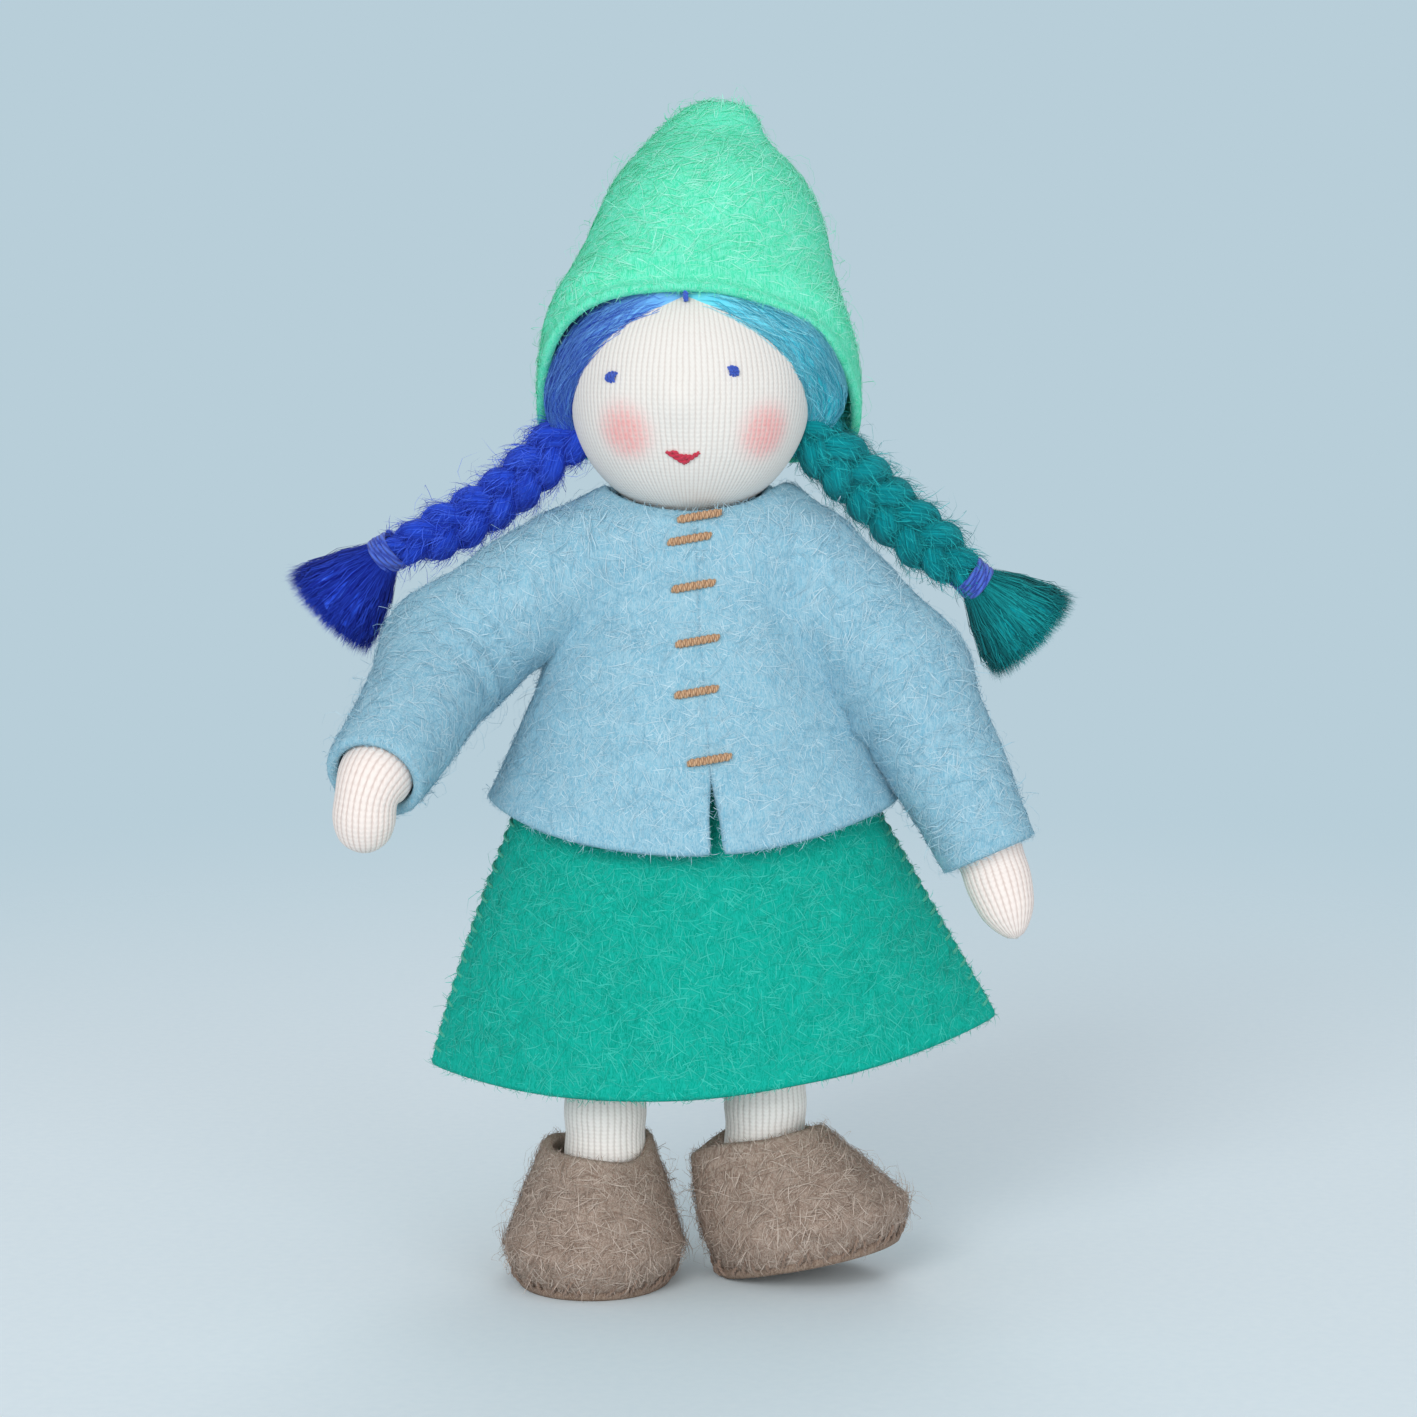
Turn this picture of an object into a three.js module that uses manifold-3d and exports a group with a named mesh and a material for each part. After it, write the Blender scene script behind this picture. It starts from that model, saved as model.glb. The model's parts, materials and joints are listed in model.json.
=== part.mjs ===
// A bendable doll: a wire armature wrapped in wool, jersey skin, plaited hair and felt clothes.
// Millimetres, +Z up. The doll faces -Y, so its own left is +X. It stands as it was posed.
import * as THREE from "three";
import { mergeVertices } from "three/addons/utils/BufferGeometryUtils.js";
import Module from "manifold-3d";

const wasm = await Module();
wasm.setup();

// Sheets, wire, thread and clearances
const FELT = 1.1;
const JERSEY = 0.6;
const WIRE_RADIUS = 0.8;
const THREAD_RADIUS = 0.4;
const GAP = 0.3; // between pieces that touch
const SWING_GAP = 0.4; // round a ball that turns in a hollow
const BEND_GAP = 0.6; // from a bend to the wire on either side of it
const HIP_BEND_GAP = 1.1; // the same at the hips, where the wire bends square

// Legs and shoes
const LEG_RADIUS = 4;
const LEG_LENGTH = 36; // hip bend to ankle bend
const ANKLE_HEIGHT = 10; // ankle bend above the sole's underside
const RIGHT_LEG_X = -8.6;
const LEFT_LEG_X = 7.6;
const SHOE_LENGTH = 21.4;
const SHOE_WIDTH = 18.4;
const SHOE_HEEL = 6.6; // heel behind the ankle bend
const SHOE_HEIGHT = 13.6;
const SHOE_OPENING_WIDTH = 11.6;
const SHOE_OPENING_LENGTH = 15;
const SHOE_OPENING_BACK = 0; // middle of the opening behind the ankle bend
const TOE_HEIGHT = 5;
const HEEL_FLAT = 0.5; // how far the tilted heel is pressed flat
const RIGHT_TOE_OUT = 5; // degrees
const LEFT_TOE_OUT = 65;
const LEFT_TOE_UP = 14;

// Trunk and jacket
const SHOULDER_ABOVE_HIP = 26;
const SHOULDER_X = 11.2;
const NECK_ABOVE_SHOULDER = 2.6;
const COLLAR_ABOVE_SHOULDER = 6.7;
const COLLAR_WIDTH = 16.4;
const COLLAR_DEPTH = 13.4;
const COLLAR_FRONT_DIP = 2.6;
const COLLAR_BACK_DIP = 1;
const CHEST_WIDTH = 22.8;
const CHEST_DEPTH = 17.2;
const CHEST_BELOW_SHOULDER = 3;
const JACKET_LENGTH = 23.6; // shoulder line to hem at the sides
const JACKET_HEM_WIDTH = 41;
const JACKET_HEM_DEPTH = 28;
const JACKET_HEM_DROP = 3.6; // hem lower at front and back than at the sides
const JACKET_SLIT_LENGTH = 7.5;
const JACKET_SLIT_WIDTH = 1;
const FRONT_EDGE_X = 0.7;
const STITCH_COUNT = 6;
const STITCH_LENGTH = 4.5;
const STITCH_TILT = 9; // degrees
const TOP_STITCH_BELOW_COLLAR = 1.4;
const LOW_STITCH_ABOVE_HEM = 9.4;
const FIRST_STITCH_STEP = 2.4; // the two stitches at the neck sit close together

// Skirt
const WAIST_BELOW_SHOULDER = 12;
const WAIST_WIDTH = 21.2;
const WAIST_DEPTH = 13;
const SKIRT_LENGTH = 39.8; // waist to the middle of the front hem
const SKIRT_HEM_WIDTH = 55.8;
const SKIRT_HEM_DEPTH = 30;
const SKIRT_HEM_SHIFT = 2; // hem middle to the doll's left of the waist
const SKIRT_HEM_LIFT = 3.4; // corners above the front middle
const SKIRT_HEM_TILT = 2.5; // left corner up, right corner down
const SKIRT_FLARE = 0.86; // below 1 the skirt widens fastest at the waist
const WAIST_THREAD_BELOW_EDGE = 1.4;

// Head, hair and hat
const HEAD_ABOVE_NECK = 14.4;
const HEAD_FORWARD = 1;
const HEAD_WIDTH = 24;
const HEAD_DEPTH = 22.6;
const HEAD_HEIGHT = 24;
const NECK_RADIUS = 4;
const NECK_BEND_GAP = 0.8; // from the neck wire's ends to the wool round them
const NOSE_HEIGHT = 0.5;
const EYE_RADIUS = 0.65;
const FACE_TURN = 8; // degrees to the doll's right
const EYE_SPACING = 12.1;
const EYE_ABOVE_HEAD_MIDDLE = 2.9;
const FACE_ROLL = 2.8; // degrees, left eye higher
const MOUTH_BELOW_HEAD_MIDDLE = 5.7;
const MOUTH_WIDTH = 3.4;
const MOUTH_DROP = 1.2;
const HAIR = 0.9; // thickness of the combed hair
const PARTING_X = -0.5;
const HAIRLINE_FRONT = 6.6; // hairline ahead of the head's middle at the parting
const HAIRLINE_TILT = 16; // degrees from upright, top forward
const NAPE_BELOW_HEAD_MIDDLE = 9.5;
const PARTING_STITCH_LENGTH = 1.8;
const HAT_EASE = 1.7; // air between hair and hat at the sides
const HAT_HEIGHT = 30.2; // middle of the rim to the tip
const HAT_RIM_TILT = 52; // degrees, front up
const HAT_SHIFT = 0.5;
const HAT_BACK = 1.6; // rim middle behind the trunk's middle plane
const HAT_TIP_SHIFT = 2; // tip to the doll's left of the rim's middle
const HAT_TIP_BACK = 1.4;
const HAT_BULGE_BACK = 2; // how far the crown bellies back between rim and tip

// Plaits
const PLAIT_RADIUS = 2.7;
const PLAIT_ROOT_RADIUS = 1.9;
const PLAIT_END_RADIUS = 2.1;
const PLAIT_LENGTH = 21;
const PLAIT_LUMPS = 5;
const PLAIT_ROOT_OUT = 1.1; // root bend outside the head's side
const PLAIT_ROOT_BACK = 2.8;
const PLAIT_ROOT_DROP = 5.6;
const RIGHT_PLAIT_DOWN = 33; // degrees below level
const LEFT_PLAIT_DOWN = 42;
const PLAIT_BACK = 14; // degrees behind the trunk's plane
const TASSEL_LENGTH = 9;
const TASSEL_SPREAD = 11.4;
const TASSEL_DEPTH = 5;

// Arms and sleeves
const UPPER_ARM_LENGTH = 15.6;
const FOREARM_LENGTH = 19; // elbow bend to the cuff's edge
const SLEEVE_RADIUS = 6.5;
const SLEEVE_END_BEFORE_ELBOW = 4;
const ELBOW_GAP = 0.6; // between the upper sleeve's edge and the lower sleeve's ball
const SLEEVE_BULGE_RADIUS = 5.7;
const CUFF_RADIUS = 5.2;
const ARM_WRAP_RADIUS = 3.3;
const RIGHT_ARM_OUT = 54; // degrees from straight down
const RIGHT_ARM_FORWARD = 10;
const RIGHT_FOREARM_OUT = 32;
const RIGHT_FOREARM_FORWARD = 50;
const LEFT_ARM_OUT = 41;
const LEFT_ARM_FORWARD = 9;
const LEFT_FOREARM_OUT = 26;
const LEFT_FOREARM_FORWARD = 9;
const RIGHT_SHOULDER_RAISE = 29; // degrees of travel up from rest
const LEFT_SHOULDER_RAISE = 30;
const RIGHT_SHOULDER_LOWER = 8; // degrees of travel down from rest
const LEFT_SHOULDER_LOWER = 0;
const RIGHT_ELBOW_STRAIGHTEN = 35; // degrees of travel from rest
const RIGHT_ELBOW_BEND = 16;
const LEFT_ELBOW_STRAIGHTEN = 5;
const LEFT_ELBOW_BEND = 50;

// Hands
const HAND_LENGTH = 9.6;
const HAND_WIDTH = 6.8;
const HAND_DEPTH = 5.6;
const WRIST_RADIUS = 1.9;
const WRIST_INSIDE_CUFF = 2;
const WRIST_GAP = 0.8; // from the wire to the hand that turns in front of it
const RIGHT_WRIST_OUT = 2.8; // wrist bend beyond the cuff's edge
const LEFT_WRIST_OUT = 0.6;
const RIGHT_HAND_SHARE_ABOVE = 0.28; // share of the hand above the wrist bend
const LEFT_HAND_SHARE_ABOVE = 0.1;
const RIGHT_HAND_OUT = 4; // degrees from straight down
const RIGHT_HAND_FORWARD = 16;
const LEFT_HAND_OUT = 18;
const LEFT_HAND_FORWARD = 8;

// Fineness of the round pieces
const ROUND = 16;
const WIRE_SIDES = 6;
const BIG = 500; // larger than the doll, for cutting planes

const finishes = {
  wire: { color: 0x9a9c9e, roughness: 0.45, metalness: 0.9 },
  wool: { color: 0xe9e2d6, roughness: 0.95, metalness: 0 },
  jersey: { color: 0xece4df, roughness: 0.9, metalness: 0 },
  hatFelt: { color: 0x4be69b, roughness: 0.95, metalness: 0 },
  jacketFelt: { color: 0x96c8e1, roughness: 0.95, metalness: 0 },
  skirtFelt: { color: 0x0faf91, roughness: 0.95, metalness: 0 },
  shoeFelt: { color: 0x8c7364, roughness: 0.95, metalness: 0 },
  blueHair: { color: 0x2337a8, roughness: 0.85, metalness: 0 },
  tealHair: { color: 0x148a8c, roughness: 0.85, metalness: 0 },
  tanThread: { color: 0xb98f5e, roughness: 0.8, metalness: 0 },
  blueThread: { color: 0x2c4fb4, roughness: 0.8, metalness: 0 },
  redThread: { color: 0xb8213c, roughness: 0.8, metalness: 0 },
  paleThread: { color: 0xd9d2c6, roughness: 0.8, metalness: 0 },
  greenThread: { color: 0x1d8f78, roughness: 0.8, metalness: 0 },
};

const vec = (x, y, z) => new THREE.Vector3(x, y, z);
const radians = THREE.MathUtils.degToRad;
const mix = THREE.MathUtils.lerp;
const FORWARD = vec(0, -1, 0);

// One closed skin: shared corners merged, collapsed faces dropped, faces pointing out.
function closedSkin(geometry) {
  const bare = new THREE.BufferGeometry();
  bare.setAttribute("position", geometry.getAttribute("position").clone());
  if (geometry.getIndex()) bare.setIndex(Array.from(geometry.getIndex().array));
  const merged = mergeVertices(bare, 1e-4);
  const spots = merged.getAttribute("position");
  const corners = merged.getIndex().array;
  const kept = [];
  const [a, b, c] = [vec(0, 0, 0), vec(0, 0, 0), vec(0, 0, 0)];
  let volume = 0;
  for (let i = 0; i < corners.length; i += 3) {
    const [p, q, r] = [corners[i], corners[i + 1], corners[i + 2]];
    if (p === q || q === r || r === p) continue;
    kept.push(p, q, r);
    a.fromBufferAttribute(spots, p);
    b.fromBufferAttribute(spots, q);
    c.fromBufferAttribute(spots, r);
    volume += a.dot(b.cross(c));
  }
  if (volume < 0) kept.reverse();
  merged.setIndex(kept);
  return merged;
}

function toSolid(geometry) {
  const skin = closedSkin(geometry);
  const vertProperties = new Float32Array(skin.getAttribute("position").array);
  const triVerts = new Uint32Array(skin.getIndex().array);
  return new wasm.Manifold(new wasm.Mesh({ numProp: 3, vertProperties, triVerts }));
}

function toGeometry(body) {
  const mesh = body.getMesh();
  const geometry = new THREE.BufferGeometry();
  geometry.setAttribute("position", new THREE.BufferAttribute(mesh.vertProperties, 3));
  geometry.setIndex(new THREE.BufferAttribute(mesh.triVerts, 1));
  return geometry;
}

function cut(geometry, ...tools) {
  return toGeometry(tools.reduce((body, tool) => body.subtract(toSolid(tool)), toSolid(geometry)));
}

// A profile of [radius, height] pairs turned about the Z axis.
function turned(profile, sides = ROUND) {
  const points = profile.map(([radius, height]) => new THREE.Vector2(radius, height));
  return new THREE.LatheGeometry(points, sides).rotateX(Math.PI / 2);
}

// The wall between an outer and an inner profile, open at both ends.
function turnedWall(outer, inner, sides = ROUND) {
  return turned([...outer, ...inner.slice().reverse(), outer[0]], sides);
}

function ball(centre, radius, sides = ROUND) {
  return new THREE.SphereGeometry(radius, sides, sides / 2).translate(centre.x, centre.y, centre.z);
}

// A straight rod from one point to another.
function rod(start, end, radius, sides = WIRE_SIDES) {
  const along = end.clone().sub(start);
  const turn = new THREE.Quaternion().setFromUnitVectors(vec(0, 0, 1), along.clone().normalize());
  const middle = start.clone().add(end).multiplyScalar(0.5);
  return new THREE.CylinderGeometry(radius, radius, along.length(), sides)
    .rotateX(Math.PI / 2)
    .applyQuaternion(turn)
    .translate(middle.x, middle.y, middle.z);
}

// A round rod bent smoothly through points.
function bentRod(points, radius, steps, sides = WIRE_SIDES) {
  const section = new THREE.Shape();
  for (let i = 0; i < sides; i += 1) {
    const angle = (2 * Math.PI * i) / sides;
    const [x, y] = [radius * Math.cos(angle), radius * Math.sin(angle)];
    if (i === 0) section.moveTo(x, y);
    else section.lineTo(x, y);
  }
  const extrudePath = new THREE.CatmullRomCurve3(points);
  return new THREE.ExtrudeGeometry(section, { steps, extrudePath, bevelEnabled: false });
}

// A thread end rounded off at both ends, lying along X.
function stitch(length, radius) {
  return new THREE.CapsuleGeometry(radius, length - 2 * radius, 2, 5).rotateZ(Math.PI / 2);
}

// Points on a ring: the side radius along one direction and the depth radius along another.
function ring(centre, side, depth, count = ROUND) {
  return Array.from({ length: count }, (_, i) => {
    const angle = (2 * Math.PI * i) / count;
    return centre.clone().addScaledVector(side, Math.cos(angle)).addScaledVector(depth, Math.sin(angle));
  });
}

// A level oval ring.
function oval(x, y, z, halfWidth, halfDepth, count = ROUND) {
  return ring(vec(x, y, z), vec(halfWidth, 0, 0), vec(0, halfDepth, 0), count);
}

// A skin over a stack of rings. Looped, the last ring joins the first; otherwise both ends are capped.
function stacked(rings, looped = false) {
  const count = rings[0].length;
  const spots = rings.flat();
  const faces = [];
  const joins = looped ? rings.length : rings.length - 1;
  for (let k = 0; k < joins; k += 1) {
    const low = k * count;
    const high = ((k + 1) % rings.length) * count;
    for (let i = 0; i < count; i += 1) {
      const next = (i + 1) % count;
      faces.push(low + i, low + next, high + next, low + i, high + next, high + i);
    }
  }
  if (!looped) {
    const ends = [[rings[0], 0, true], [rings.at(-1), (rings.length - 1) * count, false]];
    for (const [points, first, flipped] of ends) {
      const middle = points.reduce((sum, p) => sum.add(p), vec(0, 0, 0)).divideScalar(count);
      spots.push(middle);
      for (let i = 0; i < count; i += 1) {
        const pair = [first + i, first + ((i + 1) % count)];
        faces.push(...(flipped ? pair.reverse() : pair), spots.length - 1);
      }
    }
  }
  const geometry = new THREE.BufferGeometry().setFromPoints(spots);
  geometry.setIndex(faces);
  return geometry;
}

// A sheet of even thickness over the surface spot(across, up), both running from 0 to 1.
function sheetOf(spot, columns, rows, thickness) {
  const nudge = 1e-3;
  const sides = [[], []];
  for (let j = 0; j <= rows; j += 1) {
    for (let i = 0; i <= columns; i += 1) {
      const [s, t] = [i / columns, j / rows];
      const [s0, s1] = [Math.max(s - nudge, 0), Math.min(s + nudge, 1)];
      const [t0, t1] = [Math.max(t - nudge, 0), Math.min(t + nudge, 1)];
      const across = spot(s1, t).sub(spot(s0, t));
      const normal = across.cross(spot(s, t1).sub(spot(s, t0))).normalize();
      sides[0].push(spot(s, t).addScaledVector(normal, thickness / 2));
      sides[1].push(spot(s, t).addScaledVector(normal, -thickness / 2));
    }
  }
  const wide = columns + 1;
  const far = sides[0].length;
  const faces = [];
  const quad = (a, b, c, d) => faces.push(a, b, c, a, c, d);
  for (let j = 0; j < rows; j += 1) {
    for (let i = 0; i < columns; i += 1) {
      const a = j * wide + i;
      quad(a, a + 1, a + 1 + wide, a + wide);
      quad(far + a, far + a + wide, far + a + 1 + wide, far + a + 1);
    }
    const [left, right] = [j * wide, j * wide + columns];
    quad(left, left + wide, far + left + wide, far + left);
    quad(right, far + right, far + right + wide, right + wide);
  }
  for (let i = 0; i < columns; i += 1) {
    const top = rows * wide + i;
    quad(i, far + i, far + i + 1, i + 1);
    quad(top, top + 1, far + top + 1, far + top);
  }
  const geometry = new THREE.BufferGeometry().setFromPoints([...sides[0], ...sides[1]]);
  geometry.setIndex(faces);
  return geometry;
}

// Everything on one side of a plane, as a box whose face is the plane.
function halfSpace(point, outward) {
  const turn = new THREE.Quaternion().setFromUnitVectors(vec(0, 0, 1), outward.clone().normalize());
  return new THREE.BoxGeometry(BIG, BIG, BIG)
    .translate(0, 0, BIG / 2)
    .applyQuaternion(turn)
    .translate(point.x, point.y, point.z);
}

const doll = new THREE.Group();

function piece(parent, name, geometry, finish) {
  const skin = closedSkin(geometry);
  skin.computeVertexNormals();
  const mesh = new THREE.Mesh(skin, new THREE.MeshStandardMaterial(finish));
  mesh.name = name;
  parent.add(mesh);
}

// The direction of a limb that leans out to its side and forward from straight down.
function limbDirection(side, out, forward) {
  const [a, f] = [radians(out), radians(forward)];
  return vec(side * Math.sin(a) * Math.cos(f), -Math.sin(f), -Math.cos(a) * Math.cos(f));
}

// A group at a bend, whose +Z runs along the limb.
function limbGroup(pivot, direction) {
  const group = new THREE.Group();
  group.position.copy(pivot);
  group.quaternion.setFromUnitVectors(vec(0, 0, 1), direction);
  doll.add(group);
  return group;
}

function intoGroup(group, direction) {
  return direction.clone().applyQuaternion(group.quaternion.clone().invert());
}

// Heights of the bends, from the floor up. The tilted left foot lifts its ankle a little.
const tiltedDrop = (angle) => ANKLE_HEIGHT * Math.cos(angle) + SHOE_HEEL * Math.sin(angle);
const LEFT_ANKLE_Z = tiltedDrop(radians(LEFT_TOE_UP)) - HEEL_FLAT;
const RIGHT_HIP = vec(RIGHT_LEG_X, 0, ANKLE_HEIGHT + LEG_LENGTH);
const LEFT_HIP = vec(LEFT_LEG_X, 0, LEFT_ANKLE_Z + LEG_LENGTH);
const HIP_Z = (RIGHT_HIP.z + LEFT_HIP.z) / 2;
const SHOULDER_Z = HIP_Z + SHOULDER_ABOVE_HIP;
const WAIST_Z = SHOULDER_Z - WAIST_BELOW_SHOULDER;
const NECK_Z = SHOULDER_Z + NECK_ABOVE_SHOULDER;
const HEAD = vec(0, -HEAD_FORWARD, NECK_Z + HEAD_ABOVE_NECK);
const NECK_OPEN_Z = NECK_Z + BEND_GAP + NECK_BEND_GAP;
const HAIR_OUT = GAP + HAIR;
const SHOULDER_BALL = SLEEVE_RADIUS + SWING_GAP;
const HIP_BALL = LEG_RADIUS + SWING_GAP;
const shoulderOf = (side) => vec(side * SHOULDER_X, 0, SHOULDER_Z);

// Half width and half depth of the jacket's outside down its length, with the lift of its edges.
const jacketSections = [
  {
    z: SHOULDER_Z + COLLAR_ABOVE_SHOULDER,
    width: COLLAR_WIDTH,
    depth: COLLAR_DEPTH,
    frontDip: COLLAR_FRONT_DIP,
    backDip: COLLAR_BACK_DIP,
  },
  {
    z: SHOULDER_Z + mix(-CHEST_BELOW_SHOULDER, COLLAR_ABOVE_SHOULDER, 0.75),
    width: mix(CHEST_WIDTH, COLLAR_WIDTH, 0.35),
    depth: mix(CHEST_DEPTH, COLLAR_DEPTH, 0.6),
    frontDip: COLLAR_FRONT_DIP / 2,
    backDip: COLLAR_BACK_DIP / 2,
  },
  {
    z: SHOULDER_Z + mix(-CHEST_BELOW_SHOULDER, COLLAR_ABOVE_SHOULDER, 0.45),
    width: mix(CHEST_WIDTH, COLLAR_WIDTH, 0.1),
    depth: mix(CHEST_DEPTH, COLLAR_DEPTH, 0.3),
    frontDip: 0,
    backDip: 0,
  },
  ...[0, 0.18, 0.4, 0.7, 1].map((share) => ({
    z: SHOULDER_Z - mix(CHEST_BELOW_SHOULDER, JACKET_LENGTH, share),
    width: mix(CHEST_WIDTH, JACKET_HEM_WIDTH, share ** 1.1),
    depth: mix(CHEST_DEPTH, JACKET_HEM_DEPTH, share),
    frontDip: JACKET_HEM_DROP * share ** 3,
    backDip: JACKET_HEM_DROP * share ** 3,
  })),
];

function jacketRing(section, inset) {
  const points = oval(0, 0, section.z, section.width / 2 - inset, section.depth / 2 - inset, ROUND + 6);
  for (const point of points) {
    const share = (point.y / (section.depth / 2 - inset)) ** 2;
    point.z -= share * (point.y < 0 ? section.frontDip : section.backDip);
  }
  return points;
}

// The room that an arm's sleeve needs in the trunk, from rest down to its lowest.
function armHollow(side) {
  const shoulder = shoulderOf(side);
  const rest = side < 0 ? RIGHT_ARM_OUT : LEFT_ARM_OUT;
  const forward = side < 0 ? RIGHT_ARM_FORWARD : LEFT_ARM_FORWARD;
  const lowest = rest - (side < 0 ? RIGHT_SHOULDER_LOWER : LEFT_SHOULDER_LOWER);
  const rods = [rest, lowest].map((out) => {
    const end = shoulder.clone().addScaledVector(limbDirection(side, out, forward), BIG);
    return rod(shoulder, end, SHOULDER_BALL, ROUND);
  });
  return [ball(shoulder, SHOULDER_BALL), ...rods];
}

// The room that a leg needs in the trunk.
function legHollow(hip) {
  return [ball(hip, HIP_BALL), rod(hip, vec(hip.x, 0, 0), HIP_BALL, ROUND)];
}

// The jacket's section at a height, between the listed ones.
function jacketAt(z) {
  const low = Math.max(1, jacketSections.findIndex((section) => section.z <= z));
  const [above, below] = [jacketSections[low - 1], jacketSections[low]];
  const share = (above.z - z) / (above.z - below.z);
  return { width: mix(above.width, below.width, share), depth: mix(above.depth, below.depth, share) };
}

function addJacket() {
  const outside = jacketSections.map((section) => jacketRing(section, 0));
  const inside = jacketSections.map((section) => jacketRing(section, FELT)).reverse();
  const hem = SHOULDER_Z - JACKET_LENGTH - JACKET_HEM_DROP;
  const edgeGap = new THREE.BoxGeometry(GAP, BIG, BIG).translate(FRONT_EDGE_X, -BIG / 2, 0);
  const slit = new THREE.ConeGeometry(JACKET_SLIT_WIDTH / 2, JACKET_SLIT_LENGTH, 4, 1)
    .rotateY(Math.PI / 4)
    .rotateX(Math.PI / 2)
    .scale(Math.SQRT2, BIG, 1)
    .translate(FRONT_EDGE_X, -BIG / 2, hem + JACKET_SLIT_LENGTH / 2);
  const armholes = [-1, 1].flatMap(armHollow);
  piece(doll, "jacket_body", cut(stacked([...outside, ...inside], true), edgeGap, slit, ...armholes),
    finishes.jacketFelt);
  const top = SHOULDER_Z + COLLAR_ABOVE_SHOULDER - COLLAR_FRONT_DIP - TOP_STITCH_BELOW_COLLAR;
  const bottom = hem + LOW_STITCH_ABOVE_HEM;
  for (let i = 0; i < STITCH_COUNT; i += 1) {
    const share = (i - 1) / (STITCH_COUNT - 2);
    const z = i === 0 ? top : mix(top - FIRST_STITCH_STEP, bottom, share);
    const reach = Math.max(...[-1, 1].map((end) => jacketAt(z + end * THREAD_RADIUS).depth)) / 2;
    const thread = stitch(STITCH_LENGTH, THREAD_RADIUS)
      .rotateY(-radians(STITCH_TILT))
      .translate(FRONT_EDGE_X, -reach - GAP - THREAD_RADIUS, z);
    piece(doll, `jacket_stitch_${i + 1}`, thread, finishes.tanThread);
  }
}

// Half width and half depth of the skirt's middle layer at a height share from hem to waist.
const skirtShare = (z) => (z - (WAIST_Z - SKIRT_LENGTH)) / SKIRT_LENGTH;
const skirtGrowth = (up) => (1 - Math.min(up, 1)) ** SKIRT_FLARE;
const skirtHalfWidth = (up) => mix(WAIST_WIDTH, SKIRT_HEM_WIDTH, skirtGrowth(up)) / 2;
const skirtHalfDepth = (up) => mix(WAIST_DEPTH, SKIRT_HEM_DEPTH, skirtGrowth(up)) / 2;
const SEAM_HALF = (FELT + GAP) / 2; // a panel's middle layer from the side seam's plane

function addSkirt() {
  const panel = (front) => (across, up) => {
    const side = Math.sin((across - 0.5) * Math.PI);
    const hem = WAIST_Z - SKIRT_LENGTH + SKIRT_HEM_LIFT * side ** 2 + SKIRT_HEM_TILT * side;
    const bow = (1 - side ** 2) ** mix(0.8, 0.5, up);
    return vec(
      SKIRT_HEM_SHIFT * (1 - up) ** 2 + side * skirtHalfWidth(up),
      (front ? -1 : 1) * (SEAM_HALF + bow * skirtHalfDepth(up)),
      mix(hem, WAIST_Z, up),
    );
  };
  piece(doll, "skirt_front", sheetOf(panel(true), 14, 6, FELT), finishes.skirtFelt);
  piece(doll, "skirt_back", sheetOf(panel(false), 14, 6, FELT), finishes.skirtFelt);
  const threadZ = WAIST_Z - WAIST_THREAD_BELOW_EDGE;
  const up = skirtShare(threadZ - THREAD_RADIUS);
  const outOfFelt = FELT / 2 + GAP + THREAD_RADIUS;
  const halfWidth = skirtHalfWidth(up) + outOfFelt;
  const halfDepth = skirtHalfDepth(up) + SEAM_HALF + outOfFelt;
  const turn = (angle) => vec(Math.cos(angle), Math.sin(angle), 0);
  const sections = Array.from({ length: ROUND }, (_, i) => {
    const angle = (2 * Math.PI * i) / ROUND;
    const spot = vec(halfWidth * Math.cos(angle), halfDepth * Math.sin(angle), threadZ);
    return ring(spot, turn(angle).multiplyScalar(THREAD_RADIUS), vec(0, 0, THREAD_RADIUS), 5);
  });
  piece(doll, "waist_thread", stacked(sections, true), finishes.greenThread);
}

// Wires through the trunk: the hip wire, the spine on top of it, the shoulder wire behind the spine.
const hipWireEnds = [
  RIGHT_HIP.clone().add(vec(HIP_BEND_GAP, 0, 0)),
  LEFT_HIP.clone().sub(vec(HIP_BEND_GAP, 0, 0)),
];
const SPINE_FOOT_Z = Math.max(RIGHT_HIP.z, LEFT_HIP.z) + 2 * WIRE_RADIUS;
const spineEnds = [vec(0, 0, SPINE_FOOT_Z), vec(0, 0, NECK_Z - BEND_GAP)];
const behindSpine = 2 * WIRE_RADIUS + GAP;
const shoulderWirePath = [-1, -0.35, 0.35, 1].map((share) => vec(
  share * (SHOULDER_X - BEND_GAP),
  Math.abs(share) < 1 ? behindSpine : 0,
  SHOULDER_Z,
));

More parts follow.
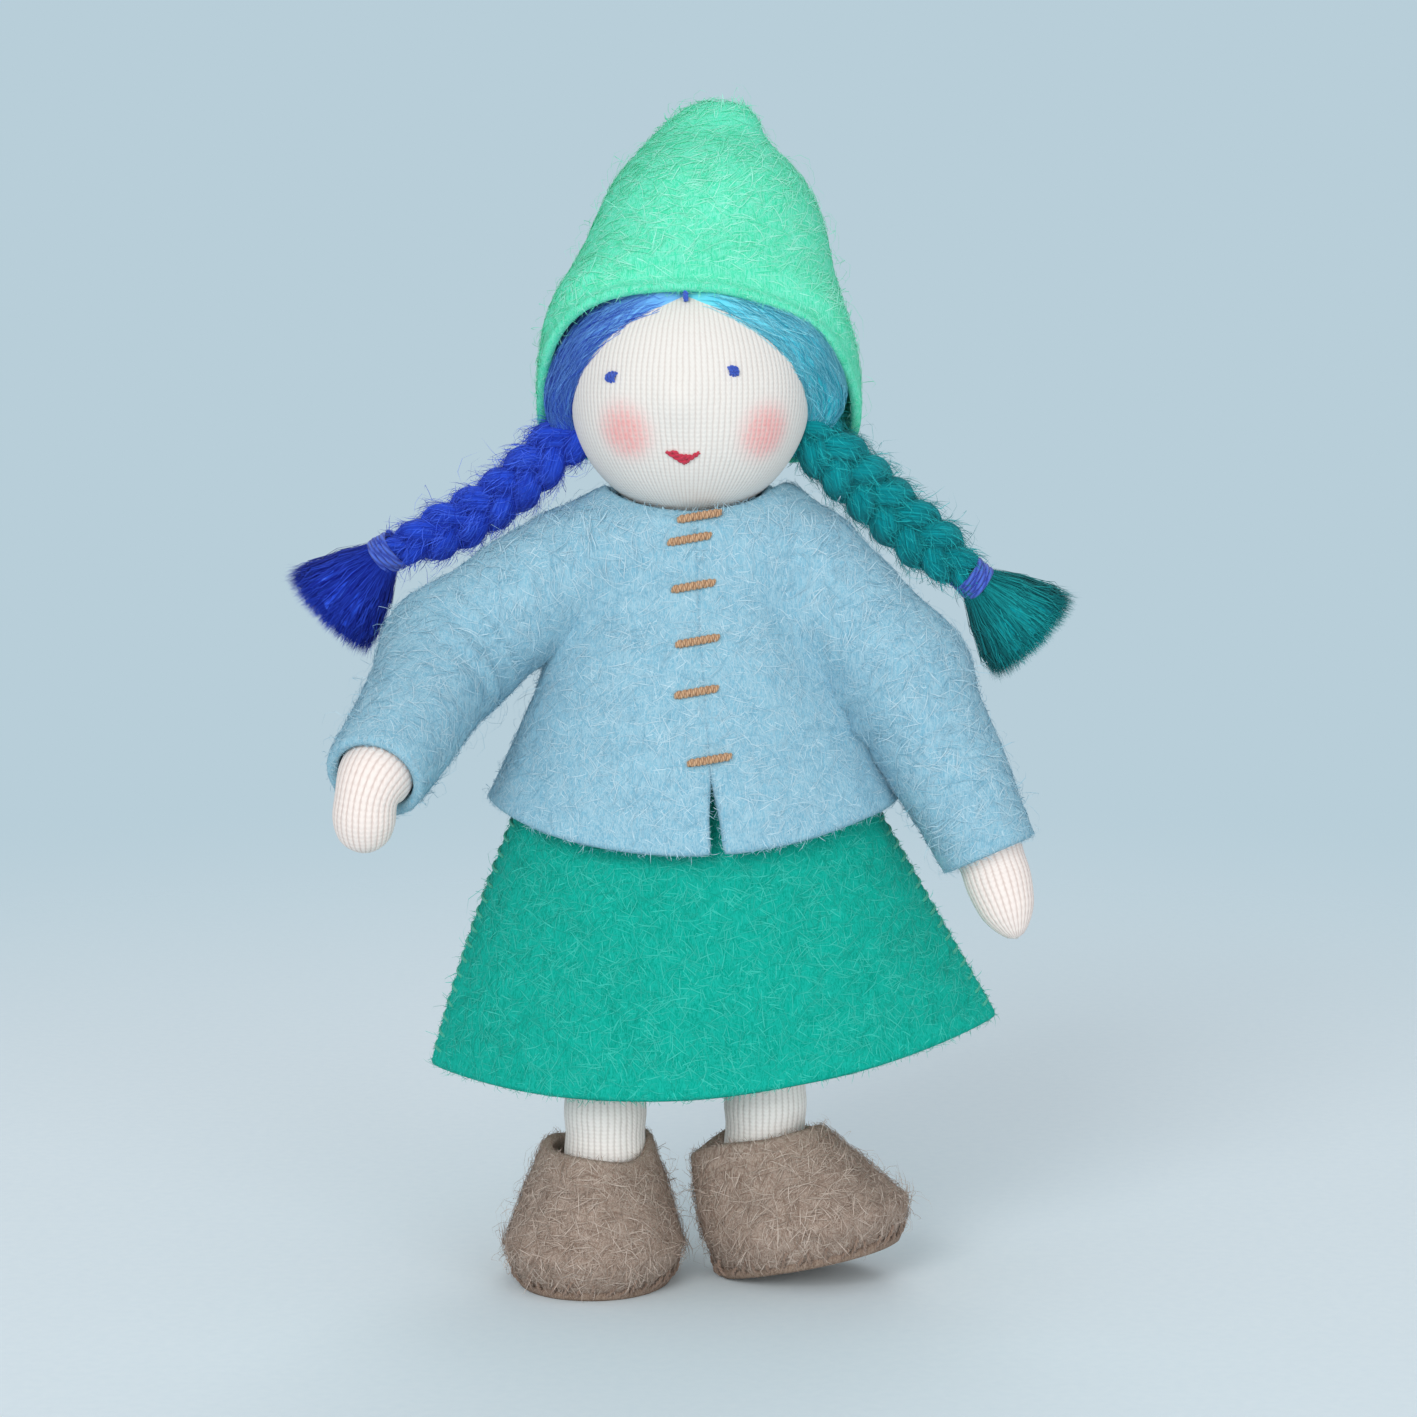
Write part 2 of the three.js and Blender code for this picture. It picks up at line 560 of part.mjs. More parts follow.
function addTrunk() {
  piece(doll, "hip_wire", rod(...hipWireEnds, WIRE_RADIUS), finishes.wire);
  piece(doll, "spine_wire", rod(...spineEnds, WIRE_RADIUS), finishes.wire);
  piece(doll, "shoulder_wire", bentRod(shoulderWirePath, WIRE_RADIUS, 12), finishes.wire);
  const insideJacket = FELT + GAP;
  const insideSkirt = FELT / 2 + GAP;
  const waistWidth = WAIST_WIDTH / 2 - insideSkirt;
  const waistDepth = WAIST_DEPTH / 2 + SEAM_HALF - insideSkirt;
  const chestZ = SHOULDER_Z - CHEST_BELOW_SHOULDER;
  const chest = jacketAt(chestZ);
  const top = NECK_Z - BEND_GAP - NECK_BEND_GAP;
  const neckBase = Math.min(NECK_RADIUS, chest.depth / 2 - insideJacket);
  const rings = [
    oval(0, 0, HIP_Z - LEG_RADIUS / 2, waistWidth / 3, waistDepth / 2),
    oval(0, 0, HIP_Z, waistWidth * 0.7, waistDepth * 0.85),
    oval(0, 0, mix(HIP_Z, WAIST_Z, 0.4), waistWidth, waistDepth),
    oval(0, 0, mix(HIP_Z, WAIST_Z, 0.9), waistWidth, waistDepth),
    oval(0, 0, WAIST_Z + GAP, waistWidth, waistDepth),
    oval(0, 0, chestZ, chest.width / 2 - insideJacket, chest.depth / 2 - insideJacket),
    oval(0, 0, mix(SHOULDER_Z, top, 0.3), neckBase * 1.3, neckBase * 1.1),
    oval(0, 0, top, neckBase, neckBase),
  ];
  const channels = [
    rod(...hipWireEnds, WIRE_RADIUS + GAP),
    rod(spineEnds[0], vec(0, 0, BIG), WIRE_RADIUS + GAP),
    bentRod(shoulderWirePath, WIRE_RADIUS + GAP, 12),
  ];
  const hollows = [
    ...[RIGHT_HIP, LEFT_HIP].flatMap(legHollow),
    ...[-1, 1].flatMap(armHollow),
  ];
  piece(doll, "torso_stuffing", cut(stacked(rings), ...channels, ...hollows), finishes.wool);
}

// The head's surface in a direction, raised by an offset, with the small nose at its front.
const faceForward = vec(-Math.sin(radians(FACE_TURN)), -Math.cos(radians(FACE_TURN)), 0);

function headSpot(direction, offset) {
  const d = direction.clone().normalize();
  const nose = NOSE_HEIGHT * Math.exp(-12 * d.distanceToSquared(faceForward));
  return vec(
    HEAD.x + d.x * (HEAD_WIDTH / 2 + offset),
    HEAD.y + d.y * (HEAD_DEPTH / 2 + offset),
    HEAD.z + d.z * (HEAD_HEIGHT / 2 + offset),
  ).addScaledVector(d, nose);
}

function headRings(offset, fromTop, toBottom, count) {
  return Array.from({ length: count }, (_, k) => {
    const polar = mix(fromTop, toBottom, k / (count - 1));
    return Array.from({ length: ROUND }, (_, i) => {
      const angle = (2 * Math.PI * i) / ROUND;
      const level = Math.sin(polar);
      return headSpot(vec(level * Math.cos(angle), level * Math.sin(angle), Math.cos(polar)), offset);
    });
  });
}

// A spot on the face, from the distance to its left and above the head's middle.
function faceSpot(left, up, offset) {
  const roll = radians(FACE_ROLL);
  const [x, z] = [left * Math.cos(roll) - up * Math.sin(roll), left * Math.sin(roll) + up * Math.cos(roll)];
  const across = x / (HEAD_WIDTH / 2);
  const high = z / (HEAD_HEIGHT / 2);
  const toFront = Math.sqrt(Math.max(0, 1 - across ** 2 - high ** 2));
  const turn = radians(-FACE_TURN);
  return headSpot(vec(across, -toFront, high).applyAxisAngle(vec(0, 0, 1), turn), offset);
}

function addHead() {
  const nearTop = 0.12;
  const neckPolar = Math.PI - Math.asin(NECK_RADIUS / (HEAD_WIDTH / 2));
  const neckRing = (radius) => oval(0, 0, NECK_OPEN_Z, radius, radius);
  const outer = headRings(0, nearTop, neckPolar, 10);
  const inner = headRings(-JERSEY, nearTop, neckPolar, 10).reverse();
  const skin = stacked([...outer, neckRing(NECK_RADIUS), neckRing(NECK_RADIUS - JERSEY), ...inner]);
  const wireTop = vec(0, 0, HEAD.z);
  const wireFoot = vec(0, 0, NECK_Z + BEND_GAP);
  piece(doll, "neck_wire", rod(wireFoot, wireTop, WIRE_RADIUS), finishes.wire);
  const core = stacked(headRings(-JERSEY - GAP, nearTop, neckPolar - 0.05, 8));
  const bore = rod(vec(0, 0, 0), wireTop.clone().add(vec(0, 0, GAP)), WIRE_RADIUS + GAP);
  piece(doll, "head_core", cut(core, bore), finishes.wool);
  piece(doll, "head_skin", skin, finishes.jersey);
  const thread = new THREE.TorusGeometry(NECK_RADIUS + 2 * GAP + THREAD_RADIUS, THREAD_RADIUS, 5, ROUND);
  piece(doll, "neck_thread", thread.translate(0, 0, NECK_OPEN_Z + THREAD_RADIUS), finishes.paleThread);
  for (const [name, side] of [["eye_right", -1], ["eye_left", 1]]) {
    const middle = faceSpot(side * EYE_SPACING / 2, EYE_ABOVE_HEAD_MIDDLE, EYE_RADIUS + GAP);
    piece(doll, name, ball(middle, EYE_RADIUS, 8), finishes.blueThread);
  }
  const lips = [-1, 0, 1].map((share) => faceSpot(
    share * MOUTH_WIDTH / 2,
    -MOUTH_BELOW_HEAD_MIDDLE - (share ? 0 : MOUTH_DROP),
    THREAD_RADIUS + GAP,
  ));
  piece(doll, "mouth_stitch", bentRod(lips, THREAD_RADIUS, 8, 6), finishes.redThread);
}

const plaitRoot = (side) => vec(
  side * (HEAD_WIDTH / 2 + PLAIT_ROOT_OUT),
  HEAD.y + PLAIT_ROOT_BACK,
  HEAD.z - PLAIT_ROOT_DROP,
);

function addHair() {
  const shell = stacked([
    ...headRings(HAIR_OUT, 0.08, Math.PI - 0.5, 10),
    ...headRings(GAP, 0.08, Math.PI - 0.5, 10).reverse(),
  ]);
  const lean = radians(HAIRLINE_TILT);
  const topOfFace = HEAD.z + Math.sqrt(1 - (HAIRLINE_FRONT / (HEAD_DEPTH / 2)) ** 2) * HEAD_HEIGHT / 2;
  const hairline = vec(0, HEAD.y - HAIRLINE_FRONT, topOfFace);
  const face = halfSpace(hairline, vec(0, -Math.cos(lean), -Math.sin(lean)));
  const nape = halfSpace(vec(0, 0, HEAD.z - NAPE_BELOW_HEAD_MIDDLE), vec(0, 0, -1));
  const roots = [-1, 1].map((side) => ball(plaitRoot(side), PLAIT_ROOT_RADIUS + SWING_GAP));
  const combed = cut(shell, face, nape, ...roots);
  const halves = [["hair_right", 1, finishes.blueHair], ["hair_left", -1, finishes.tealHair]];
  for (const [name, away, finish] of halves) {
    const otherSide = halfSpace(vec(PARTING_X - away * GAP / 2, 0, 0), vec(away, 0, 0));
    piece(doll, name, cut(combed, otherSide), finish);
  }
  const polar = Math.asin(HAIRLINE_FRONT / (HEAD_DEPTH / 2)) + 0.06;
  const over = (turn) => headSpot(
    vec(PARTING_X / (HEAD_WIDTH / 2), -Math.sin(polar + turn), Math.cos(polar + turn)),
    HAIR_OUT + GAP + THREAD_RADIUS,
  );
  const halfTurn = PARTING_STITCH_LENGTH / HEAD_HEIGHT;
  const stitch = rod(over(-halfTurn), over(halfTurn), THREAD_RADIUS, 6);
  piece(doll, "parting_stitch", stitch, finishes.blueThread);
}

function addHat() {
  const rimHalf = HEAD_WIDTH / 2 + HAIR_OUT + HAT_EASE + FELT;
  const rim = vec(HAT_SHIFT, HAT_BACK, HEAD.z - GAP);
  const levels = [
    { up: 0, wide: 1 },
    { up: 0.22, wide: 0.92 },
    { up: 0.44, wide: 0.79 },
    { up: 0.64, wide: 0.62 },
    { up: 0.82, wide: 0.42 },
    { up: 0.93, wide: 0.26 },
    { up: 0.985, wide: 0.1 },
  ];
  const crown = (inset) => levels.map(({ up, wide }) => {
    const lean = radians(HAT_RIM_TILT * (1 - up) ** 1.15);
    const middle = vec(
      rim.x + HAT_TIP_SHIFT * up,
      rim.y + HAT_TIP_BACK * up + HAT_BULGE_BACK * Math.sin(Math.PI * Math.sqrt(up)),
      rim.z + HAT_HEIGHT * up - inset * up,
    );
    const half = Math.max(rimHalf * wide - inset, FELT / 2);
    const back = vec(0, Math.cos(lean), -Math.sin(lean)).multiplyScalar(half * mix(1.05, 1, up));
    return ring(middle, vec(half, 0, 0), back, ROUND + 2);
  });
  const hat = stacked([...crown(0).reverse(), ...crown(FELT)]);
  piece(doll, "hat", hat, finishes.hatFelt);
}

// A plait is a lumpy tapering roll with its thread tied round the end and its tassel beyond.
function addPlait(side, name, down, finish) {
  const [fall, back] = [radians(down), radians(PLAIT_BACK)];
  const direction = vec(
    side * Math.cos(fall) * Math.cos(back),
    Math.sin(back),
    -Math.sin(fall) * Math.cos(back),
  );
  const group = limbGroup(plaitRoot(side), direction);
  const steps = 2 * PLAIT_LUMPS;
  const profile = Array.from({ length: steps + 1 }, (_, i) => {
    const share = i / steps;
    const waist = 1 - 0.1 * Math.cos(2 * Math.PI * PLAIT_LUMPS * share);
    const full = mix(PLAIT_RADIUS, PLAIT_END_RADIUS, share) * waist;
    return [mix(PLAIT_ROOT_RADIUS, full, Math.min(1, 6 * share)), PLAIT_LENGTH * share];
  });
  const endRadius = profile.at(-1)[0];
  const tieRadius = THREAD_RADIUS * 1.5;
  const root = [[0, -PLAIT_ROOT_RADIUS], [PLAIT_ROOT_RADIUS * 0.8, -PLAIT_ROOT_RADIUS * 0.6]];
  const end = [[endRadius, PLAIT_LENGTH + 2 * tieRadius], [0, PLAIT_LENGTH + 2 * tieRadius]];
  piece(group, `plait_${name}`, turned([...root, ...profile, ...end], 10), finish);
  const tie = new THREE.TorusGeometry(endRadius + GAP + tieRadius, tieRadius, 5, 12);
  piece(group, `plait_tie_${name}`, tie.translate(0, 0, PLAIT_LENGTH + tieRadius), finishes.blueThread);
  const start = PLAIT_LENGTH + 2 * tieRadius + GAP;
  const fan = [[0, 0], [endRadius, 0], [mix(endRadius, TASSEL_SPREAD / 2, 0.6), 0.45 * TASSEL_LENGTH],
    [TASSEL_SPREAD / 2, 0.9 * TASSEL_LENGTH], [0.7 * TASSEL_SPREAD / 2, TASSEL_LENGTH], [0, TASSEL_LENGTH]];
  const flat = TASSEL_DEPTH / TASSEL_SPREAD;
  const depthWay = intoGroup(group, vec(0, 1, 0)).setZ(0).normalize();
  const turn = Math.atan2(depthWay.y, depthWay.x);
  const tassel = turned(fan, 12).scale(flat, 1, 1).rotateZ(turn).translate(0, 0, start);
  piece(group, `tassel_${name}`, tassel, finish);
}

// The opening that the wire passes through in a ball-shaped sleeve end, wide enough for its travel.
function sleeveOpening(group, towards, radius) {
  return rod(vec(0, 0, 0), intoGroup(group, towards).multiplyScalar(BIG), radius, ROUND);
}

function ballProfile(radius, from, steps) {
  return Array.from({ length: steps }, (_, i) => {
    const angle = mix(from, Math.PI / 2, i / steps);
    return [radius * Math.sin(angle), -radius * Math.cos(angle)];
  });
}

// A sleeve whose upper end is a ball round the bend and whose lower end is open.
function ballSleeve(radius, lower) {
  const outer = [...ballProfile(radius, 0, 4), [radius, 0], ...lower];
  const inside = radius - FELT;
  const inner = [...ballProfile(inside, 0, 4), [inside, 0], ...lower.map(([r, t]) => [r - FELT, t])];
  return turned([...outer, ...inner.reverse()]);
}

function addArm(pose) {
  const { side, name } = pose;
  const shoulder = shoulderOf(side);
  const upperWay = limbDirection(side, ...pose.upper);
  const foreWay = limbDirection(side, ...pose.fore);
  const elbow = shoulder.clone().addScaledVector(upperWay, UPPER_ARM_LENGTH);
  const upper = limbGroup(shoulder, upperWay);
  const fore = limbGroup(elbow, foreWay);
  const elbowBall = Math.hypot(SLEEVE_RADIUS - FELT, SLEEVE_END_BEFORE_ELBOW) - ELBOW_GAP;

  const wrapEnd = UPPER_ARM_LENGTH - elbowBall;
  const wrapStart = BEND_GAP + ARM_WRAP_RADIUS / 2;
  piece(upper, `upper_arm_wire_${name}`,
    rod(vec(0, 0, BEND_GAP), vec(0, 0, UPPER_ARM_LENGTH - BEND_GAP), WIRE_RADIUS), finishes.wire);
  piece(upper, `upper_arm_wrap_${name}`, wrap(wrapStart, wrapEnd), finishes.wool);
  const upperEnd = UPPER_ARM_LENGTH - SLEEVE_END_BEFORE_ELBOW;
  const inwards = vec(-side, 0, 0).applyAxisAngle(vec(0, side, 0), radians((pose.raise - pose.lower) / 2));
  const armhole = sleeveOpening(upper, inwards, 0.8 * SLEEVE_RADIUS);
  piece(upper, `sleeve_upper_${name}`,
    cut(ballSleeve(SLEEVE_RADIUS, [[SLEEVE_RADIUS, upperEnd]]), armhole), finishes.jacketFelt);

  const foreEnd = FOREARM_LENGTH - WRIST_INSIDE_CUFF - WRIST_GAP;
  piece(fore, `forearm_wire_${name}`,
    rod(vec(0, 0, BEND_GAP), vec(0, 0, foreEnd), WIRE_RADIUS), finishes.wire);
  piece(fore, `forearm_wrap_${name}`,
    wrap(wrapStart, foreEnd), finishes.wool);
  const lower = [[elbowBall, SLEEVE_END_BEFORE_ELBOW], [SLEEVE_BULGE_RADIUS, 0.5 * FOREARM_LENGTH],
    [CUFF_RADIUS, FOREARM_LENGTH]];
  const axis = upperWay.clone().cross(FORWARD).normalize();
  const middleBend = radians((pose.bend - pose.straighten) / 2);
  const towardsUpper = upperWay.clone().negate().applyAxisAngle(axis, -middleBend);
  const wireOpening = sleeveOpening(fore, towardsUpper, 0.72 * elbowBall);
  piece(fore, `sleeve_lower_${name}`,
    cut(ballSleeve(elbowBall, lower), wireOpening), finishes.jacketFelt);

  const wrist = elbow.clone().addScaledVector(foreWay, FOREARM_LENGTH + pose.wristOut);
  const hand = limbGroup(wrist, limbDirection(side, ...pose.hand));
  piece(hand, `hand_${name}`, mitt(hand, foreWay, pose), finishes.jersey);
}

// Wool wound round a wire, with the wire's hole through it.
function wrap(start, end) {
  const bore = WIRE_RADIUS + GAP;
  const swell = 0.85 * ARM_WRAP_RADIUS;
  const outer = [[swell, start], [ARM_WRAP_RADIUS, mix(start, end, 0.5)], [swell, end]];
  return turnedWall(outer, [[bore, start], [bore, end]], 12);
}

// A mitten-shaped hand with the wrist's neck running back into the cuff.
function mitt(group, foreWay, pose) {
  const [top, tip] = [-pose.handAbove * HAND_LENGTH, (1 - pose.handAbove) * HAND_LENGTH];
  const shares = [0.03, 0.15, 0.35, 0.6, 0.82, 0.96];
  const rings = shares.map((share) => {
    const full = Math.sqrt(1 - (2 * share - 1) ** 2) ** 0.8;
    const z = mix(top, tip, share);
    return oval(0, 0, z, full * HAND_WIDTH / 2, full * HAND_DEPTH / 2, 14);
  });
  const back = intoGroup(group, foreWay).multiplyScalar(-(pose.wristOut + WRIST_INSIDE_CUFF));
  const neck = rod(vec(0, 0, 0), back, WRIST_RADIUS, 12);
  return toGeometry(toSolid(stacked(rings)).add(toSolid(neck)));
}

// A level cut through the shoe at a height, inset from the upper's outside.
function shoeRing(height, inset) {
  const share = THREE.MathUtils.clamp((height - TOE_HEIGHT) / (SHOE_HEIGHT - TOE_HEIGHT), 0, 1) ** 0.85;
  const soleMiddle = SHOE_HEEL - SHOE_LENGTH / 2;
  const tuck = 0.5 * FELT * Math.max(0, 1 - height / TOE_HEIGHT);
  const halfWidth = mix(SHOE_WIDTH, SHOE_OPENING_WIDTH, share) / 2 - inset - tuck;
  const halfLength = mix(SHOE_LENGTH, SHOE_OPENING_LENGTH, share) / 2 - inset - tuck;
  return oval(0, mix(soleMiddle, SHOE_OPENING_BACK, share), height, halfWidth, halfLength);
}

function addLeg(name, hip, ankleZ, toeOut, toeUp) {
  const ankle = vec(hip.x, 0, ankleZ);
  const leg = limbGroup(hip, vec(0, 0, -1));
  const [start, end] = [HIP_BEND_GAP + GAP, LEG_LENGTH];
  const woolRadius = LEG_RADIUS - JERSEY - GAP;
  piece(leg, `leg_wire_${name}`,
    rod(vec(0, 0, HIP_BEND_GAP), vec(0, 0, LEG_LENGTH), WIRE_RADIUS), finishes.wire);
  const bore = WIRE_RADIUS + GAP;
  const calf = mix(start, end, 0.5);
  const filled = [[woolRadius, start], [woolRadius, calf], [woolRadius, end]];
  piece(leg, `leg_stuffing_${name}`,
    turnedWall(filled, [[bore, start], [bore, end]], 14), finishes.wool);
  piece(leg, `stocking_${name}`,
    turnedWall([[LEG_RADIUS, start], [LEG_RADIUS, calf], [LEG_RADIUS, end]],
      [[LEG_RADIUS - JERSEY, start], [LEG_RADIUS - JERSEY, calf], [LEG_RADIUS - JERSEY, end]]),
    finishes.jersey);

  const foot = new THREE.Group();
  foot.position.copy(ankle);
  foot.rotation.set(radians(-toeUp), 0, radians(toeOut) * Math.sign(hip.x), "ZYX");
  doll.add(foot);
  foot.updateMatrixWorld(true);
  const floor = halfSpace(vec(0, 0, 0), vec(0, 0, -1)).applyMatrix4(foot.matrixWorld.clone().invert());
  const lowered = (geometry) => cut(geometry.translate(0, 0, -ANKLE_HEIGHT), floor);
  const soleRings = [shoeRing(0, GAP), shoeRing(FELT, GAP)];
  piece(foot, `shoe_sole_${name}`, lowered(stacked(soleRings)), finishes.shoeFelt);
  const wallHeights = [0, 1].map((share) => mix(FELT + GAP, TOE_HEIGHT, share));
  const vampHeights = [0.25, 0.6, 1].map((share) => mix(TOE_HEIGHT, SHOE_HEIGHT, share));
  const heights = [...wallHeights, ...vampHeights];
  const upper = stacked([
    ...heights.map((height) => shoeRing(height, 0)),
    ...heights.map((height) => shoeRing(height, FELT)).reverse(),
  ], true);
  piece(foot, `shoe_upper_${name}`, lowered(upper), finishes.shoeFelt);
  const fillHeights = [...wallHeights, mix(TOE_HEIGHT, ANKLE_HEIGHT, 0.5), ANKLE_HEIGHT - GAP];
  const filling = stacked(fillHeights.map((height) => shoeRing(height, FELT + GAP)));
  const ankleHollow = ball(vec(0, 0, ANKLE_HEIGHT), LEG_RADIUS + SWING_GAP);
  piece(foot, `foot_stuffing_${name}`, lowered(cut(filling, ankleHollow)), finishes.wool);
}

addTrunk();
addJacket();
addSkirt();
addHead();
addHair();
addHat();
addPlait(-1, "right", RIGHT_PLAIT_DOWN, finishes.blueHair);
addPlait(1, "left", LEFT_PLAIT_DOWN, finishes.tealHair);
addArm({
  side: -1,
  name: "right",
  upper: [RIGHT_ARM_OUT, RIGHT_ARM_FORWARD],
  fore: [RIGHT_FOREARM_OUT, RIGHT_FOREARM_FORWARD],
  hand: [RIGHT_HAND_OUT, RIGHT_HAND_FORWARD],
  raise: RIGHT_SHOULDER_RAISE,
  lower: RIGHT_SHOULDER_LOWER,
  straighten: RIGHT_ELBOW_STRAIGHTEN,
  bend: RIGHT_ELBOW_BEND,
  wristOut: RIGHT_WRIST_OUT,
  handAbove: RIGHT_HAND_SHARE_ABOVE,
});
addArm({
  side: 1,
  name: "left",
  upper: [LEFT_ARM_OUT, LEFT_ARM_FORWARD],
  fore: [LEFT_FOREARM_OUT, LEFT_FOREARM_FORWARD],
  hand: [LEFT_HAND_OUT, LEFT_HAND_FORWARD],
  raise: LEFT_SHOULDER_RAISE,
  lower: LEFT_SHOULDER_LOWER,
  straighten: LEFT_ELBOW_STRAIGHTEN,
  bend: LEFT_ELBOW_BEND,
  wristOut: LEFT_WRIST_OUT,
  handAbove: LEFT_HAND_SHARE_ABOVE,
});
addLeg("right", RIGHT_HIP, ANKLE_HEIGHT, RIGHT_TOE_OUT, 0);
addLeg("left", LEFT_HIP, LEFT_ANKLE_Z, LEFT_TOE_OUT, LEFT_TOE_UP);

// The origin is the middle of the underside of the whole doll's box.
const box = new THREE.Box3().setFromObject(doll, true);
const middle = box.getCenter(vec(0, 0, 0));
doll.position.set(-middle.x, -middle.y, -box.min.z);
doll.updateMatrixWorld(true);

export default doll;
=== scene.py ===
import json
import math

import bpy
import numpy as np
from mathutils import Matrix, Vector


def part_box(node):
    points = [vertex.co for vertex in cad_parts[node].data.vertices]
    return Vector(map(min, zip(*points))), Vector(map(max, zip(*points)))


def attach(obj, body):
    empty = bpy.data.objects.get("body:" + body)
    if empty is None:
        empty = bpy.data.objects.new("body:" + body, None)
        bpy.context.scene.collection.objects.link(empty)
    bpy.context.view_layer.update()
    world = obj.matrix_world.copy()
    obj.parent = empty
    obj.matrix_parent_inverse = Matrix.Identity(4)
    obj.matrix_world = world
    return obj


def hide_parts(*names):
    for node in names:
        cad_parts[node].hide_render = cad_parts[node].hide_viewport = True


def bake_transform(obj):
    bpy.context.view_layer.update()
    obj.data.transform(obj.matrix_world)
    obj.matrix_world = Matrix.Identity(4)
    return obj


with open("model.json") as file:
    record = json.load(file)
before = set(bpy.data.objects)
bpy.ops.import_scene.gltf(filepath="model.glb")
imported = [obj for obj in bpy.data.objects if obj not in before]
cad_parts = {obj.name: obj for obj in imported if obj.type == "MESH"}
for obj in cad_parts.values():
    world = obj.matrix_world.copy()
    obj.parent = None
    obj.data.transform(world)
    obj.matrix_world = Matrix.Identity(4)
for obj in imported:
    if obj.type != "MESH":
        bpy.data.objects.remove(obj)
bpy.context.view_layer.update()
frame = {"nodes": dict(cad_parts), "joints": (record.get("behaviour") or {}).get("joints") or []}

# Lengths are in millimetres from the trunk's middle line, at floor level. The doll faces -Y.
# Left and right are the doll's own: its right hand is at -X.
MM = 0.001
TURN = 2 * math.pi
SIDES = {"right": -1, "left": 1}
spine_low, spine_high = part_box("spine_wire")
MIDDLE = np.array([(spine_low[0] + spine_high[0]) / 2, (spine_low[1] + spine_high[1]) / 2, 0]) / MM
BENDS = {joint["name"]: np.array(joint["pos_m"]) / MM - MIDDLE for joint in frame["joints"]}
dice = np.random.default_rng(11)

UP = np.array([0.0, 0.0, 1.0])
BACK = np.array([0.0, 1.0, 0.0])
FRONT = np.array([0.0, -1.0, 0.0])
LEVEL = np.array([1, 1, 0])  # leaves the height out of a direction
ABOVE_FLOOR = np.array([-np.inf, -np.inf, 0.02])
FELT = 1.1  # how thick the felt is
HEAD = np.array([0.0, -1.0, 89.4])
HEAD_HALF = np.array([12.0, 11.3, 12.0])
HEAD_HALF_BELOW = np.array([12.0, 11.3, 12.7])

# The camera: what it looks at, how far back and how high it stands, and the picture's width
# in millimetres at the trunk and in dots.
LOOKS_AT = np.array([1.85, 0.0, 57.4])
CAMERA_BACK = 400.0
CAMERA_RISE = math.radians(7)
PICTURE_WIDTH = 141.7
PICTURE_DOTS = 1417


# Numbers and curves


def unit(vectors):
    """Vectors cut to length 1."""
    return vectors / np.maximum(np.linalg.norm(vectors, axis=-1, keepdims=True), 1e-9)


def mix(a, b, share):
    """A value between a and b."""
    return a + (b - a) * share


def step(low, high, value):
    """A smooth rise from 0 at low to 1 at high: 3t^2 - 2t^3."""
    t = np.clip((value - low) / (high - low), 0, 1)
    return t * t * (3 - 2 * t)


def xyz(x, y, z):
    """Points or directions from their three measures."""
    return np.stack(np.broadcast_arrays(x, y, z), -1)


def full_turn(count):
    """Angles spread evenly over one turn."""
    return np.arange(count) / count * TURN


def curve(knots, values):
    """A natural cubic through the values at the knots, as a function of the knot number."""
    x = np.asarray(knots, float)
    y = np.asarray(values, float)
    y = y if y.ndim == 2 else y[:, None]
    gap = np.diff(x)[:, None]
    slope = np.diff(y, axis=0) / gap
    system = np.eye(len(x))
    inner = np.arange(1, len(x) - 1)
    system[inner, inner - 1] = gap[:-1, 0]
    system[inner, inner] = 2 * (gap[:-1, 0] + gap[1:, 0])
    system[inner, inner + 1] = gap[1:, 0]
    right = np.zeros_like(y)
    right[1:-1] = 6 * (slope[1:] - slope[:-1])
    bend = np.linalg.solve(system, right)

    def at(t):
        t = np.asarray(t, float)
        k = np.clip(np.searchsorted(x, t) - 1, 0, len(x) - 2)
        h = gap[k]
        b = (t[..., None] - x[k][..., None]) / h
        a = 1 - b
        value = a * y[k] + b * y[k + 1]
        value = value + ((a**3 - a) * bend[k] + (b**3 - b) * bend[k + 1]) * h * h / 6
        return value if value.shape[-1] > 1 else value[..., 0]

    return at


def ripple(points, size, seed):
    """Smooth unevenness between about -1 and 1: the mean of eight sine waves of seeded direction
    and phase, each about `size` millimetres long."""
    waves = np.random.default_rng(seed)
    along = unit(waves.normal(size=(8, 3))) * TURN / (size * waves.uniform(0.7, 1.5, (8, 1)))
    phase = waves.uniform(0, TURN, 8)
    return np.sin(points @ along.T + phase).mean(-1) * 1.7


# Surfaces: points (n, 3), faces (m, 4) and the UV of each face corner (m, 4, 2)


def grid(points, closed):
    """A sheet of quads over points (rows, columns, 3). Closed, the last column joins the first."""
    rows, columns = points.shape[:2]
    across = columns if closed else columns - 1
    j, i = np.mgrid[0:rows - 1, 0:across]
    k = (i + 1) % columns
    faces = np.stack([j * columns + i, j * columns + k, (j + 1) * columns + k, (j + 1) * columns + i], -1)
    u = np.stack([i, i + 1, i + 1, i], -1) / across
    v = np.stack([j, j, j + 1, j + 1], -1) / (rows - 1)
    return points.reshape(-1, 3), faces.reshape(-1, 4), np.stack([u, v], -1).reshape(-1, 4, 2)


def merged(points, faces, uv):
    """The same surface with points that lie on each other made one."""
    keys, back = np.unique(np.round(points, 4), axis=0, return_inverse=True)
    return keys, back.reshape(-1)[faces], uv


def face_normals(points, faces):
    """Each face's normal, as long as the face is large: half the cross product of its diagonals."""
    a, b, c, d = (points[faces[:, k]] for k in range(4))
    return np.cross(c - a, d - b) / 2


def normals(points, faces):
    """Each point's normal: the sum of its faces' normals, cut to length 1."""
    total = np.zeros_like(points)
    each = face_normals(points, faces)
    for corner in range(4):
        np.add.at(total, faces[:, corner], each)
    return unit(total)


